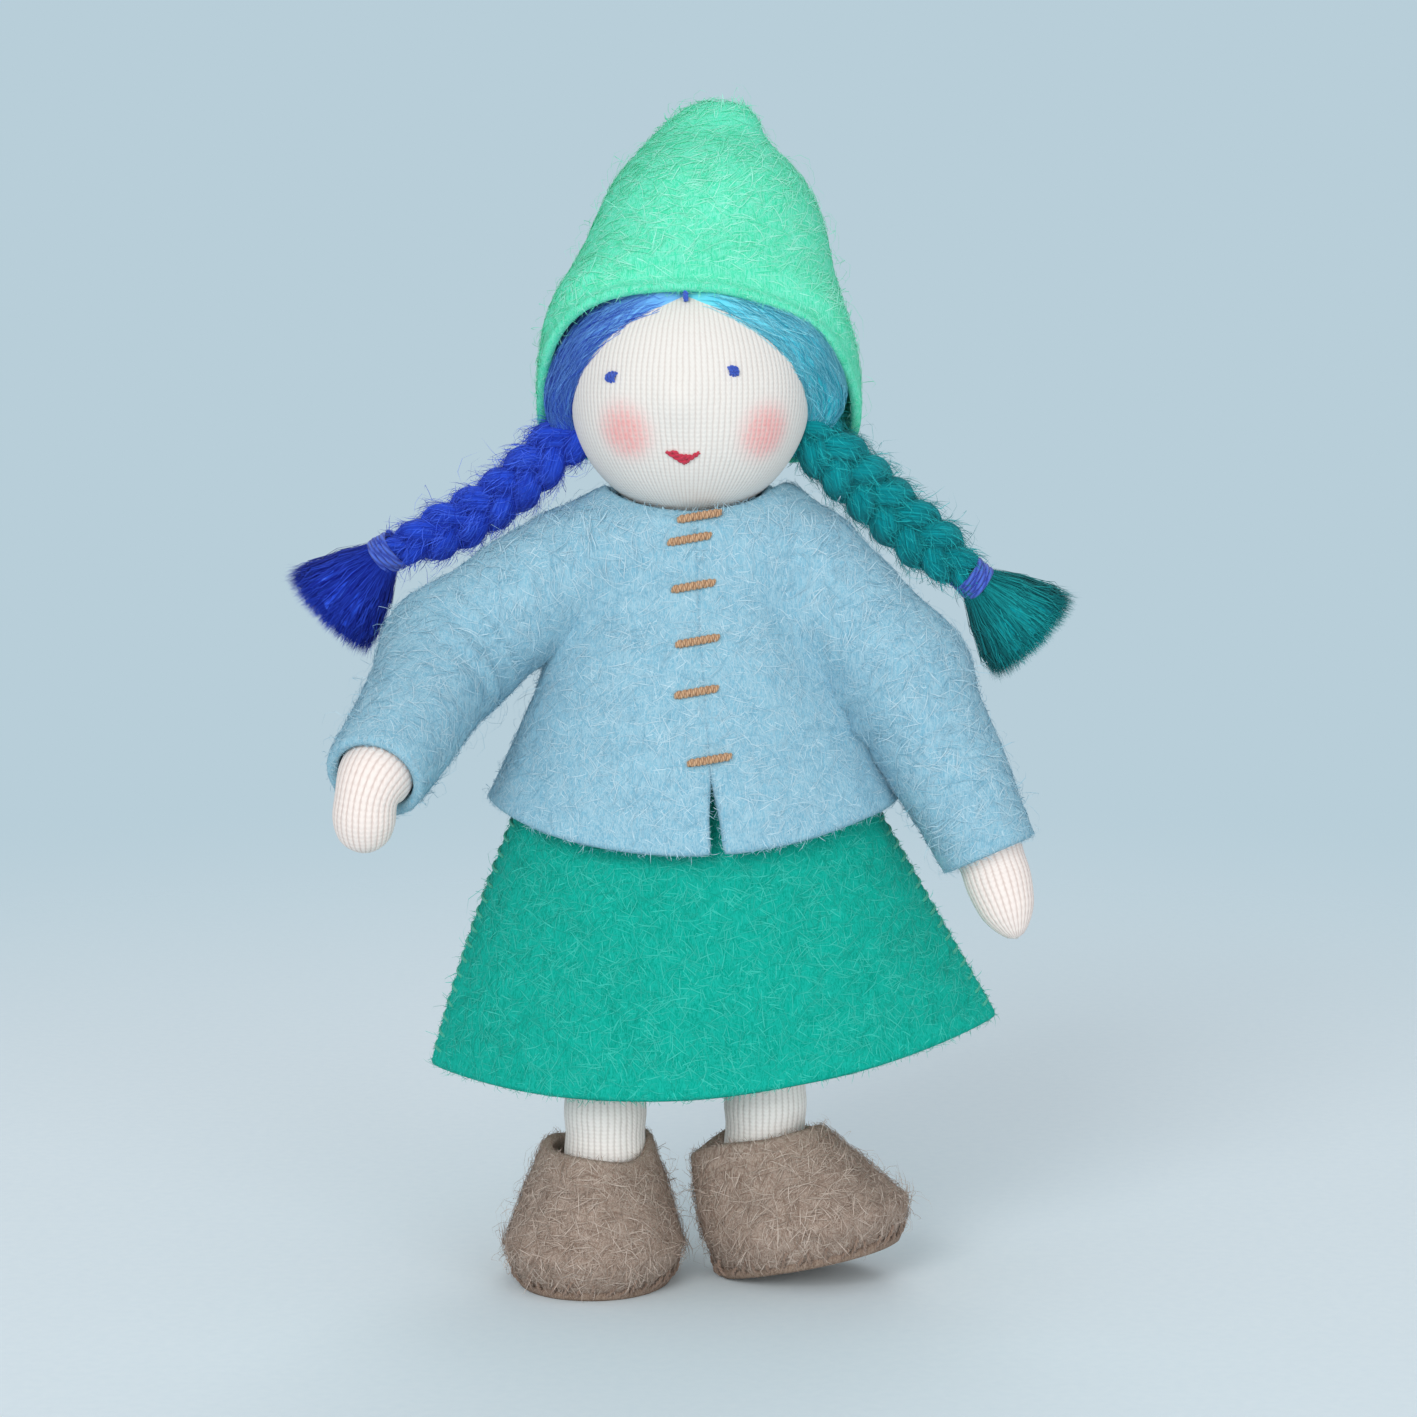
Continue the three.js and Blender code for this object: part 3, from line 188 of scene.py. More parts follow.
def facing(shape, inside):
    """The surface with its front turned away from a point inside it."""
    points, faces, uv = shape
    flow = ((points[faces].mean(1) - inside) * face_normals(points, faces)).sum()
    return shape if flow > 0 else (points, faces[:, ::-1], uv[:, ::-1])


def together(shapes):
    """Several surfaces as one."""
    starts = np.cumsum([0] + [len(points) for points, _, _ in shapes[:-1]])
    return (
        np.concatenate([points for points, _, _ in shapes]),
        np.concatenate([faces + start for (_, faces, _), start in zip(shapes, starts)]),
        np.concatenate([uv for _, _, uv in shapes]),
    )


def area(shape):
    """The surface's area in square metres."""
    return float(np.linalg.norm(face_normals(*shape[:2]), axis=1).sum()) * MM * MM


def felt_sheet(shape):
    """A cut sheet: the surface, the same surface moved in along its normals by the thickness, and
    between their edges a half-round rim: the middle of the edge + thickness (cos/2 out + 0.45 sin away),
    over half a turn. Gives the sheet, the rim alone, and the points of the outside's edge."""
    points, faces, uv = merged(*shape)
    count = len(points)
    out = normals(points, faces)
    edges = np.concatenate([faces[:, [k, (k + 1) % 4]] for k in range(4)])
    edges = edges[edges[:, 0] != edges[:, 1]]
    rim = edges[~np.isin(edges[:, 0] * count + edges[:, 1], edges[:, 1] * count + edges[:, 0])]
    away = np.zeros_like(points)
    side = np.cross(points[rim[:, 1]] - points[rim[:, 0]], out[rim].sum(1))
    np.add.at(away, rim[:, 0], side)
    np.add.at(away, rim[:, 1], side)
    edge = np.unique(rim)
    middle, out_edge, away = points[edge] - out[edge] * FELT / 2, out[edge], unit(away[edge])
    layers = [points, points - out * FELT]
    bands = [rim]
    for turn in np.radians([40, 90, 140]):
        bands.append(np.searchsorted(edge, rim) + sum(map(len, layers)))
        layers.append(middle + FELT * (out_edge * math.cos(turn) / 2 + away * 0.45 * math.sin(turn)))
    bands.append(rim + count)
    strips = np.concatenate([
        np.stack([low[:, 1], low[:, 0], high[:, 0], high[:, 1]], -1) for low, high in zip(bands, bands[1:])
    ])
    all_faces = np.concatenate([faces, faces[:, ::-1] + count, strips])
    strip_uv = np.zeros((len(strips), 4, 2))
    all_points = np.concatenate(layers)
    all_uv = np.concatenate([uv, uv[:, ::-1], strip_uv])
    return (all_points, all_faces, all_uv), (all_points, strips, strip_uv), points[edge]


def tube(path, radius, sides, across, flat=1.0, groove=0.0, grooves=0, twist=0.0):
    """A round section carried along a path. The section's first axis is square to the path and to
    `across`; its second axis is `flat` times as long; `grooves` furrows of depth `groove` run round it
    by `twist` turns. Where the radius is 0 at an end the tube closes there."""
    along = unit(np.gradient(path, axis=0))
    first = unit(np.cross(along, np.asarray(across, float)))
    second = np.cross(along, first)
    turn = full_turn(sides)
    share = np.linspace(0, 1, len(path))[:, None]
    wide = np.broadcast_to(np.asarray(radius, float), (len(path),))[:, None]
    wide = wide * (1 - groove * (0.5 + 0.5 * np.cos(grooves * turn + twist * TURN * share)))
    ring = first[:, None] * (wide * np.cos(turn))[..., None]
    ring = ring + second[:, None] * (wide * np.sin(turn) * flat)[..., None]
    return grid(path[:, None] + ring, True)


def rounded(count, blunt):
    """A radius share along a tube that closes round at both ends: a quarter ellipse over `blunt`."""
    t = np.linspace(0, 1, count)
    near = np.clip(np.minimum(t, 1 - t) / blunt, 0, 1)
    return np.sqrt(np.clip(1 - (1 - near) ** 2, 0, 1))


FIBRE_CELLS = 64  # along each side of the fibres' map, one tone to a cell
FIBRE_STRAY = 0.45  # how far a fibre strays from the way the others lie
FIBRE_HUG = 0.02  # how fast a fibre bends back to its surface
FIBRE_ROOT = 0.02  # how deep its foot sits


def spindles(nodes, radius, out):
    """Fibres. Each follows four nodes and is a closed three-sided spindle, pointed at both ends, with a
    flat side turned out. Its UV lies in one cell of the map, picked by chance, so that a fibre has one
    tone."""
    along = unit(nodes[:, 2] - nodes[:, 1])
    first = unit(np.cross(out, along))
    second = np.cross(along, first)
    corners = np.array([[1.0, 0.0], [-1.0, 0.0], [0.0, -0.8]])
    ring = first[:, None] * corners[None, :, :1] + second[:, None] * corners[None, :, 1:]
    ring = ring * np.broadcast_to(np.asarray(radius, float), (len(nodes),))[:, None, None]
    points = np.concatenate([nodes[:, :1], nodes[:, 1:2] + ring, nodes[:, 2:3] + ring, nodes[:, 3:]], 1)
    pattern = np.array([
        [0, 2, 1], [0, 3, 2], [0, 1, 3], [1, 2, 5], [1, 5, 4], [2, 3, 6],
        [2, 6, 5], [3, 1, 4], [3, 4, 6], [4, 5, 7], [5, 6, 7], [6, 4, 7],
    ])
    faces = (np.arange(len(nodes)) * 8)[:, None, None] + pattern
    spots = np.array([
        [0.5, 0.05], [0.1, 0.35], [0.5, 0.35], [0.9, 0.35],
        [0.1, 0.65], [0.5, 0.65], [0.9, 0.65], [0.5, 0.95],
    ])
    cell = dice.integers(0, FIBRE_CELLS, (len(nodes), 1, 1, 2))
    uv = (cell + spots[pattern]) / FIBRE_CELLS
    return points.reshape(-1, 3), faces.reshape(-1, 3), uv.reshape(-1, 3, 2)


def nearest(points, others):
    """Each point's distance to the nearest of the others."""
    square = (points**2).sum(1)[:, None] + (others**2).sum(1) - 2 * points @ others.T
    return np.sqrt(np.maximum(square.min(1), 0))


def fuzz(shape, per_mm2, length, lift, radius, lean=None, edge=None, past=0.6):
    """Loose fibres on a surface, spread evenly by area. Each is an arc of seeded length and
    direction: foot + length (s along + curl s^2 across) + lift length sin(0.8 pi s) out, s from 0 to 1,
    less FIBRE_HUG times the square of the way from the foot. With `lean` the fibres lie near that direction,
    which may depend on the foot. With `edge`, the points of a cut edge, they end `past` it at most."""
    points, faces = shape[:2]
    sides = np.concatenate([faces[:, [0, 1, 2]], faces[:, [0, 2, 3]]])
    a, b, c = (points[sides[:, k]] for k in range(3))
    out = np.cross(b - a, c - a)
    size = np.linalg.norm(out, axis=1) / 2
    count = int(size.sum() * per_mm2)
    pick = dice.choice(len(size), count, p=size / size.sum())
    s, t = dice.random((2, count, 1))
    fold = (s + t) > 1
    s, t = np.where(fold, 1 - s, s), np.where(fold, 1 - t, t)
    foot = a[pick] + s * (b - a)[pick] + t * (c - a)[pick]
    out = unit(out[pick])
    way = dice.normal(size=(count, 3))
    if lean is not None:
        way = (lean(foot) if callable(lean) else lean) + FIBRE_STRAY * way
    along = unit(way - out * (way * out).sum(-1, keepdims=True))
    across = np.cross(out, along)
    long = (length * dice.uniform(0.4, 1.5, (count, 1)))[:, None]
    if edge is not None:
        long = np.minimum(long, nearest(foot, edge)[:, None, None] + past)
    curl = dice.normal(0, 0.35, (count, 1, 1))
    high = (lift * dice.uniform(0.2, 1.8, (count, 1)))[:, None]
    s = np.array([0, 1 / 3, 2 / 3, 1])[None, :, None]
    rise = long * high * np.sin(s * math.pi * 0.8) - FIBRE_HUG * (long * s) ** 2 - FIBRE_ROOT
    nodes = foot[:, None] + long * (along[:, None] * s + across[:, None] * curl * s * s)
    return spindles(nodes + out[:, None] * rise, radius * dice.uniform(0.7, 1.3, count), out)


# Pieces


def piece(name, shape, finish, body, stands_for=()):
    """Makes one piece of the doll, with nothing below the floor. `body` is the CAD body it rides on, or two
    bodies with the points between which it would bend from one to the other; such a piece is left where it
    is, riding on neither."""
    points, faces, uv = shape
    points = np.maximum(points, ABOVE_FLOOR)
    points, faces, uv = merged(points, faces, uv) if faces.shape[1] == 4 else (points, faces, uv)
    kept = faces != np.roll(faces, 1, axis=1)
    kept &= (kept.sum(1) > 2)[:, None]
    sizes = kept.sum(1)
    mesh = bpy.data.meshes.new(name)
    mesh.vertices.add(len(points))
    mesh.vertices.foreach_set("co", ((points + MIDDLE) * MM).astype(np.float32).ravel())
    mesh.loops.add(int(sizes.sum()))
    mesh.loops.foreach_set("vertex_index", faces[kept].astype(np.int32))
    starts = (np.cumsum(sizes) - sizes)[sizes > 0].astype(np.int32)
    mesh.polygons.add(len(starts))
    mesh.polygons.foreach_set("loop_start", starts)
    mesh.update(calc_edges=True)
    mesh.polygons.foreach_set("use_smooth", np.full(len(starts), faces.shape[1] == 4))
    layer = mesh.uv_layers.new(name="UVMap")
    layer.data.foreach_set("uv", uv[kept].astype(np.float32).ravel())
    mesh.validate()
    obj = bpy.data.objects.new(name, mesh)
    bpy.context.scene.collection.objects.link(obj)
    mesh.materials.append(finish)
    if isinstance(body, str):
        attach(obj, body)
    else:
        first, second, start, end = body
        tuple((start + MIDDLE) * MM)
        tuple((end + MIDDLE) * MM)
        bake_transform(obj)
    if stands_for:
        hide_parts(*stands_for)
    return obj


def felt_piece(
    name, shape, cloth, body, stands_for, shown=None, lean=None, loft=1.0
):
    """A felt piece as a cut sheet with its loose fibres: many short ones that lie close to it, a few long
    ones that stand off, and short ones on the cut edge. `cloth` is the felt's finish, its fibres' finish and
    its slot. `shown` is the part of it that has fibres, if not all of it, `lean` the way they lie, if there
    is one, and `loft` how much shaggier it is than the other felt."""
    finish, fibres, slot = cloth
    shown = shape if shown is None else shown
    sheet, rim, edge = felt_sheet(shape)
    obj = piece(name, sheet, finish, body, stands_for)
    coat = together([
        fuzz(shown, 4.8, 2.0, 0.035 * loft, 0.035, lean, edge=edge),
        fuzz(shown, 0.32 * loft, 2.7, 0.3, 0.02, edge=edge, past=1.0),
        fuzz(rim, 6.0, 0.9, 0.12, 0.022),
    ])
    loose = piece(name + "_fibres", coat, fibres, body)
    area(shape)


PLIES = 2


def floss(ends, radius, turns, bow, out=FRONT, count=28):
    """A stitch of twisted thread between two points: each ply winds round the line at its own radius,
    and the line bows out by bow (1.7 sin(pi s)^0.5 - 0.7), so that both ends are below the surface."""
    s = np.linspace(0, 1, count)
    a, b = (np.asarray(end, float) for end in ends)
    out = unit(np.asarray(out, float))
    lift = bow * np.sqrt(np.sin(math.pi * s)) * 1.7 - bow * 0.7
    line = mix(a, b, s[:, None]) + out * lift[:, None]
    along = unit(b - a)
    side = unit(np.cross(along, out))
    up = np.cross(side, along)
    shapes = []
    for ply in range(PLIES):
        turn = TURN * (turns * s + ply / PLIES)[:, None]
        path = line + radius * 0.85 * (side * np.cos(turn) + up * np.sin(turn))
        shapes.append(tube(path, radius * rounded(count, 0.06), 8, up))
    return together(shapes)


def wound(centre, axis, half, turns, radius, flat, across):
    """Thread wound round something: a helix about the axis, `half` from it along its first axis and
    `flat` times that along its second, and nearly one thread's width on for each turn."""
    t = np.linspace(0, 1, int(turns * 28))
    axis = unit(np.asarray(axis, float))
    first = unit(np.cross(axis, np.asarray(across, float)))
    second = np.cross(axis, first)
    turn = (t * turns * TURN)[:, None]
    uneven = 1 + 0.03 * np.sin(turn * 3.7 + 1)
    path = centre + axis * ((t - 0.5) * turns * 1.75 * radius)[:, None]
    path = path + half * uneven * (first * np.cos(turn) + second * np.sin(turn) * flat)
    return tube(path, radius * rounded(len(t), 0.02), 9, axis, groove=0.12, grooves=3, twist=turns * 5)


# Finishes


class Amount:
    """A number or colour that varies over a surface: a node's output, with arithmetic on it."""

    def __init__(self, finish, socket):
        self.finish = finish
        self.socket = socket

    def sum_of(self, operation, *values):
        return self.finish.node("ShaderNodeMath", {"operation": operation}, dict(enumerate(values)))

    def __add__(self, other):
        return self.sum_of("ADD", self, other)

    __radd__ = __add__

    def __sub__(self, other):
        return self.sum_of("SUBTRACT", self, other)

    def __rsub__(self, other):
        return self.sum_of("SUBTRACT", other, self)

    def __mul__(self, other):
        return self.sum_of("MULTIPLY", self, other)

    __rmul__ = __mul__

    def __truediv__(self, other):
        return self.sum_of("DIVIDE", self, other)

    def __rtruediv__(self, other):
        return self.sum_of("DIVIDE", other, self)

    def __pow__(self, other):
        return self.sum_of("POWER", self, other)

    def __rpow__(self, other):
        return self.sum_of("POWER", other, self)

    def __abs__(self):
        return self.sum_of("ABSOLUTE", self)

    def fraction(self):
        return self.sum_of("FRACT", self)

    def sine(self):
        return self.sum_of("SINE", self)

    def rise(self, low, high):
        """0 below low, 1 above high, smooth between."""
        return self.finish.node(
            "ShaderNodeMapRange",
            {"interpolation_type": "SMOOTHSTEP"},
            {"Value": self, "From Min": low, "From Max": high},
        )


class Finish:
    """One material, on a Principled surface."""

    def __init__(self, name, roughness, sheen, gloss=0.2):
        self.material = bpy.data.materials.new(name)
        self.material.use_nodes = True
        self.tree = self.material.node_tree
        self.surface = self.tree.nodes["Principled BSDF"]
        self.set("Roughness", roughness)
        self.set("Sheen Weight", sheen)
        self.set("Sheen Roughness", 0.6)
        self.set("Specular IOR Level", gloss)

    def set(self, name, value):
        self.put(self.surface.inputs[name], value)

    def put(self, socket, value):
        if isinstance(value, Amount):
            self.tree.links.new(value.socket, socket)
        else:
            socket.default_value = value

    def node(self, kind, settings=None, sockets=None, output=0):
        """Adds a node: its type, its settings, and the values or links of its sockets."""
        made = self.tree.nodes.new(kind)
        for name, value in (settings or {}).items():
            setattr(made, name, value)
        for name, value in (sockets or {}).items():
            self.put(made.inputs[name], value)
        return Amount(self, made.outputs[output])

    def place(self):
        return self.node("ShaderNodeTexCoord", output="Object")

    def on_map(self):
        """The piece's own map: across, along."""
        flat = self.node("ShaderNodeTexCoord", output="UV")
        return [self.node("ShaderNodeSeparateXYZ", {}, {0: flat}, axis) for axis in (0, 1)]

    def spot(self, x, y, z=0.0):
        return self.node("ShaderNodeCombineXYZ", {}, {0: x, 1: y, 2: z})

    def noise(self, where, scale, detail, rough=0.5, twist=0.0):
        return self.node("ShaderNodeTexNoise", {}, {
            "Vector": where, "Scale": scale, "Detail": detail, "Roughness": rough, "Distortion": twist,
        })

    def turned(self, where, angles, stretch):
        return self.node("ShaderNodeMapping", {}, {
            "Vector": where, "Rotation": angles, "Scale": stretch,
        })

    def blend(self, share, a, b):
        return self.node("ShaderNodeMix", {"data_type": "RGBA"}, {0: share, 6: a, 7: b}, 2)

    def distance(self, where, point):
        return self.node("ShaderNodeVectorMath", {"operation": "DISTANCE"}, {0: where, 1: point}, "Value")

    def bump(self, height, depth, strength=1.0):
        self.set("Normal", self.node("ShaderNodeBump", {}, {
            "Strength": strength, "Distance": depth * MM, "Height": height,
        }))


def ink(red, green, blue):
    """A screen colour of 0 to 255 as the light it stands for."""
    share = np.array([red, green, blue]) / 255
    light = np.where(share <= 0.04045, share / 12.92, ((share + 0.055) / 1.055) ** 2.4)
    return (*light.tolist(), 1.0)


def fibre_lines(finish, where, size, stretch, sharp):
    """Thin crooked lines: where a noise crosses its middle, raised to a high power."""
    total = None
    for angles in ((0.3, 0.9, 0.2), (1.2, 0.4, 2.1), (2.4, 1.9, 1.1)):
        n = finish.noise(finish.turned(where, angles, stretch), size, 1.5, 0.5, 0.8)
        line = (1 - abs(n * 2 - 1)) ** sharp
        total = line if total is None else total + line
    return total


def felt_finish(name, dark, plain, light):
    """Pressed wool: a faint cloudy tone, fine grain, and short crossing fibres that catch the light."""
    finish = Finish(name, 0.95, 0.1, 0.1)
    finish.set("Sheen Tint", light)
    where = finish.place()
    cloud = finish.noise(where, 420, 2, 0.5)
    grain = finish.noise(where, 5200, 2, 0.6, 0.4)
    lines = fibre_lines(finish, where, 4600, (1.0, 1.0, 0.14), 9.0)
    tone = cloud * 0.5 + grain * 0.5
    base = finish.blend(tone.rise(0.25, 0.68), dark, plain)
    finish.set("Base Color", finish.blend((lines * (grain + 0.35)).rise(0.2, 1.4) * 0.7, base, light))
    finish.bump(grain * 0.4 + lines * 0.4, 0.1, 0.5)
    return finish.material


def fibre_finish(name, dark, light):
    """Single fibres, each in its own tone."""
    finish = Finish(name, 0.9, 0.05, 0.12)
    across, along = finish.on_map()
    cell = finish.spot(across * FIBRE_CELLS, along * FIBRE_CELLS)
    tone = finish.node("ShaderNodeTexWhiteNoise", {"noise_dimensions": "2D"}, {
        "Vector": finish.node("ShaderNodeVectorMath", {"operation": "FLOOR"}, {0: cell}),
    })
    finish.set("Base Color", finish.blend(tone, dark, light))
    return finish.material


def jersey_finish(name, groove_shade, plain, wales, courses, cheeks=(), rosy=None):
    """Fine knit: `wales` columns of V-shaped loops round the piece and `courses` rows along it, lighter on
    the loops than between them, where shade is painted into the dips of the knit, and a blush rubbed on round
    the cheek spots."""
    finish = Finish(name, 0.9, 0.25)
    across, along = finish.on_map()
    where = finish.place()
    wobble = finish.noise(where, 300, 2) - 0.5
    from_rib = abs((across * wales + wobble * 0.5).fraction() * 2 - 1)
    loop = ((along * courses + from_rib * 0.5).fraction() * TURN).sine() * 0.5 + 0.5
    height = (1 - from_rib * from_rib) * (0.6 + loop * 0.4)
    worn = finish.noise(where, 1900, 3, 0.6)
    # Painted shade: the knit's colour goes to the first colour in the dips between the loops, and to the
    # plain one on them.
    colour = finish.blend((height * 0.9 + worn * 0.35).rise(0.05, 0.85), groove_shade, plain)
    for spot, wide in cheeks:
        near = 1 - finish.distance(where, tuple((spot + MIDDLE) * MM)) / (wide * MM)
        patchy = near.rise(0.0, 0.85) * (0.1 + height * 0.5 + worn * 0.85)
        colour = finish.blend(patchy.rise(0.0, 1.2) * 0.72, colour, rosy)
    finish.set("Base Color", colour)
    finish.bump(height + worn * 0.35, 0.1, 0.6)
    return finish.material


HAIR_STREAKS = 60.0  # across a strand


def hair_finish(name, dark, plain, light, root=None, root_reach=0.0):
    """Combed wool: fine streaks along the strand, with the lighter tones of the parting, if they are
    given, over the first part of it."""
    finish = Finish(name, 0.85, 0.05, 0.07)
    across, along = finish.on_map()
    fine = finish.noise(finish.spot(across * HAIR_STREAKS, along * 5.0), 1.0, 3, 0.65, 0.4)
    broad = finish.noise(finish.spot(across * HAIR_STREAKS * 0.2, along * 2.0, 3.0), 1.0, 2, 0.5, 0.3)
    tone = fine * 0.75 + broad * 0.45 - 0.1
    colour = finish.blend(tone.rise(0.25, 0.6), dark, plain)
    colour = finish.blend((fine - 0.52).rise(0.0, 0.25) * 0.7, colour, light)
    if root is not None:
        pale = finish.blend(tone.rise(0.2, 0.8), root[0], root[1])
        colour = finish.blend((along + (broad - 0.5) * 0.25).rise(root_reach * 0.3, root_reach), pale, colour)
    finish.set("Base Color", colour)
    finish.bump(fine * 0.8 + broad * 0.5, 0.3, 0.8)
    return finish.material


def thread_finish(name, dark, light):
    """Twisted cotton: slanted plies along the thread, with shade painted into the grooves between them, and a
    slightly uneven tone.
    """
    finish = Finish(name, 0.7, 0.2, 0.3)
    across, along = finish.on_map()
    ply = ((across * 3 + along * 30) * TURN).sine() * 0.5 + 0.5
    worn = finish.noise(finish.place(), 2200, 2)
    # Partly painted shade: darker in the grooves of the twist, where the ply sine is low; partly an uneven
    # tone.
    finish.set("Base Color", finish.blend((ply * 0.5 + worn * 0.7).rise(0.2, 0.9), dark, light))
    finish.bump(ply + worn * 0.4, 0.06, 0.7)
    return finish.material


def wool_finish(name, dark, light):
    """Loose stuffing wool."""
    finish = Finish(name, 0.95, 0.3)
    where = finish.place()
    lines = fibre_lines(finish, where, 500, (1.0, 1.0, 0.3), 8.0)
    cloud = finish.noise(where, 400, 3)
    finish.set("Base Color", finish.blend((cloud + lines * 0.3).rise(0.2, 0.9), dark, light))
    finish.bump(cloud + lines * 0.6, 0.4, 0.8)
    return finish.material


def steel_finish(name):
    """Bent wire: drawn lines along it and a dull skin."""
    finish = Finish(name, 0.4, 0.0, 0.5)
    where = finish.place()
    drawn = finish.noise(finish.turned(where, (0.0, 0.0, 0.0), (1.0, 1.0, 0.1)), 4000, 2)
    worn = finish.noise(where, 500, 3)
    finish.set("Base Color", finish.blend(worn, ink(120, 122, 126), ink(186, 188, 190)))
    finish.set("Metallic", 1.0)
    finish.set("Roughness", 0.28 + drawn * 0.3)
    return finish.material


# Each cloth: the felt, its loose fibres, and the slot of both
HAT_CLOTH = (
    felt_finish("hat_felt", ink(58, 210, 158), ink(79, 226, 181), ink(139, 237, 209)),
    fibre_finish("hat_fibre", ink(70, 222, 174), ink(168, 241, 220)), "hat_felt",
)
JACKET_CLOTH = (
    felt_finish("jacket_felt", ink(112, 166, 190), ink(132, 184, 204), ink(173, 205, 217)),
    fibre_finish("jacket_fibre", ink(127, 180, 201), ink(190, 216, 226)), "jacket_felt",
)
SKIRT_CLOTH = (
    felt_finish("skirt_felt", ink(0, 139, 119), ink(2, 164, 143), ink(30, 183, 164)),
    fibre_finish("skirt_fibre", ink(0, 156, 136), ink(62, 195, 178)), "skirt_felt",
)
SHOE_CLOTH = (
    felt_finish("shoe_felt", ink(122, 101, 87), ink(157, 135, 121), ink(190, 173, 160)),
    fibre_finish("shoe_fibre", ink(138, 115, 100), ink(206, 190, 177)), "shoe_felt",
)
SOLE_FELT = felt_finish("sole_felt", ink(102, 83, 70), ink(130, 109, 95), ink(162, 143, 128))
HAIR = {
    "right": {
        "slot": "blue_hair",
        "plait": hair_finish("blue_hair", ink(18, 40, 152), ink(42, 82, 217), ink(94, 136, 243)),
        "combed": hair_finish(
            "blue_wig", ink(26, 54, 172), ink(44, 84, 216), ink(78, 124, 242),
            (ink(92, 162, 228), ink(136, 202, 246)), 0.95,
        ),
        "loose": fibre_finish("wig_strand_right", ink(42, 76, 196), ink(124, 184, 244)),
        "strand": fibre_finish("blue_strand", ink(18, 42, 160), ink(74, 112, 240)),
        "tuft": fibre_finish("blue_tuft", ink(6, 22, 128), ink(44, 76, 204)),
    },
    "left": {
        "slot": "teal_hair",
        "plait": hair_finish("teal_hair", ink(0, 98, 106), ink(4, 152, 160), ink(34, 190, 196)),
        "combed": hair_finish(
            "teal_wig", ink(18, 148, 162), ink(46, 192, 206), ink(98, 220, 228),
            (ink(78, 200, 226), ink(134, 232, 244)), 0.85,
        ),
        "loose": fibre_finish("wig_strand_left", ink(44, 164, 190), ink(156, 232, 244)),
        "strand": fibre_finish("teal_strand", ink(0, 106, 114), ink(40, 186, 188)),
        "tuft": fibre_finish("teal_tuft", ink(0, 86, 92), ink(22, 154, 156)),
    },
}
TAN_THREAD = thread_finish("tan_thread", ink(150, 108, 74), ink(206, 166, 128))
BLUE_THREAD = thread_finish("blue_thread", ink(26, 60, 176), ink(66, 112, 226))
VIOLET_THREAD = thread_finish("violet_thread", ink(28, 50, 150), ink(72, 106, 206))
RED_THREAD = thread_finish("red_thread", ink(180, 16, 52), ink(226, 52, 84))
PALE_THREAD = thread_finish("pale_thread", ink(214, 204, 192), ink(244, 236, 226))
GREEN_THREAD = thread_finish("green_thread", ink(0, 140, 112), ink(46, 196, 164))
RUST_THREAD = thread_finish("rust_thread", ink(124, 98, 82), ink(168, 142, 124))
WOOL = wool_finish("wool_stuffing", ink(206, 200, 190), ink(240, 236, 228))
STEEL = steel_finish("armature_wire")


# Places on the doll


def sight(across, down):
    """The camera's place and the direction from it through a dot of the picture."""
    ahead = np.array([0, math.cos(CAMERA_RISE), -math.sin(CAMERA_RISE)])
    up = np.array([0, math.sin(CAMERA_RISE), math.cos(CAMERA_RISE)])
    per_dot = PICTURE_WIDTH / PICTURE_DOTS
    right = (across - PICTURE_DOTS / 2) * per_dot
    rise = (PICTURE_DOTS / 2 - down) * per_dot
    way = unit(ahead * CAMERA_BACK + np.array([right, 0, 0]) + up * rise)
    return LOOKS_AT - ahead * CAMERA_BACK, way


def on_head(across, down, above=0.0):
    """The spot on the front of the head behind a dot of the picture."""
    start, way = sight(across, down)
    for half in (HEAD_HALF_BELOW + above, HEAD_HALF + above):
        p, d = (start - HEAD) / half, way / half
        a, b, c = d @ d, 2 * p @ d, p @ p - 1
        spot = start + way * (-b - math.sqrt(max(b * b - 4 * a * c, 0))) / (2 * a)
        if spot[2] < HEAD[2]:
            break
    return spot


NOSE = unit((on_head(680, 397) - HEAD) / HEAD_HALF)
NOSE_HIGH, NOSE_SHARP = 0.75, 26


def head_spot(direction, above=0.0):
    """A spot on the head: the ellipsoid along a direction, longer below its middle, with the small nose
    on it, a bump of NOSE_HIGH exp(-NOSE_SHARP d^2) at a distance d in direction."""
    nose = NOSE_HIGH * np.exp(-((direction - NOSE) ** 2).sum(-1, keepdims=True) * NOSE_SHARP)
    half = np.where(direction[..., 2:] < 0, HEAD_HALF_BELOW, HEAD_HALF)
    return HEAD + direction * (half + above + nose)


# Head


CHIN_TURN = 160  # degrees from the crown, where the neck starts
NECK_HALF = (4.1, 4.0)
NECK_Z = (-11.93, -13.8)  # from the head's middle

# The face in dots of the picture: each eye's middle and its stitches' slant, half the stitches' lengths
# and their distance, the ends of the mouth's stitches, and the middles of the cheeks
EYES = (("eye_right", 612, 377, 1.6), ("eye_left", 733, 371, -1.2))
EYE_STITCHES = (4.2, 5.4, 4.6)
EYE_STITCH_STEP = 2.9
MOUTH = (
    ((666, 451), (685, 463)), ((672, 450), (688, 463)), ((683, 463), (700, 452)), ((678, 456), (694, 457))
)
CHEEKS = ((624, 432), (766, 432))
CHEEK_REACH = 4.8  # how far the blush goes


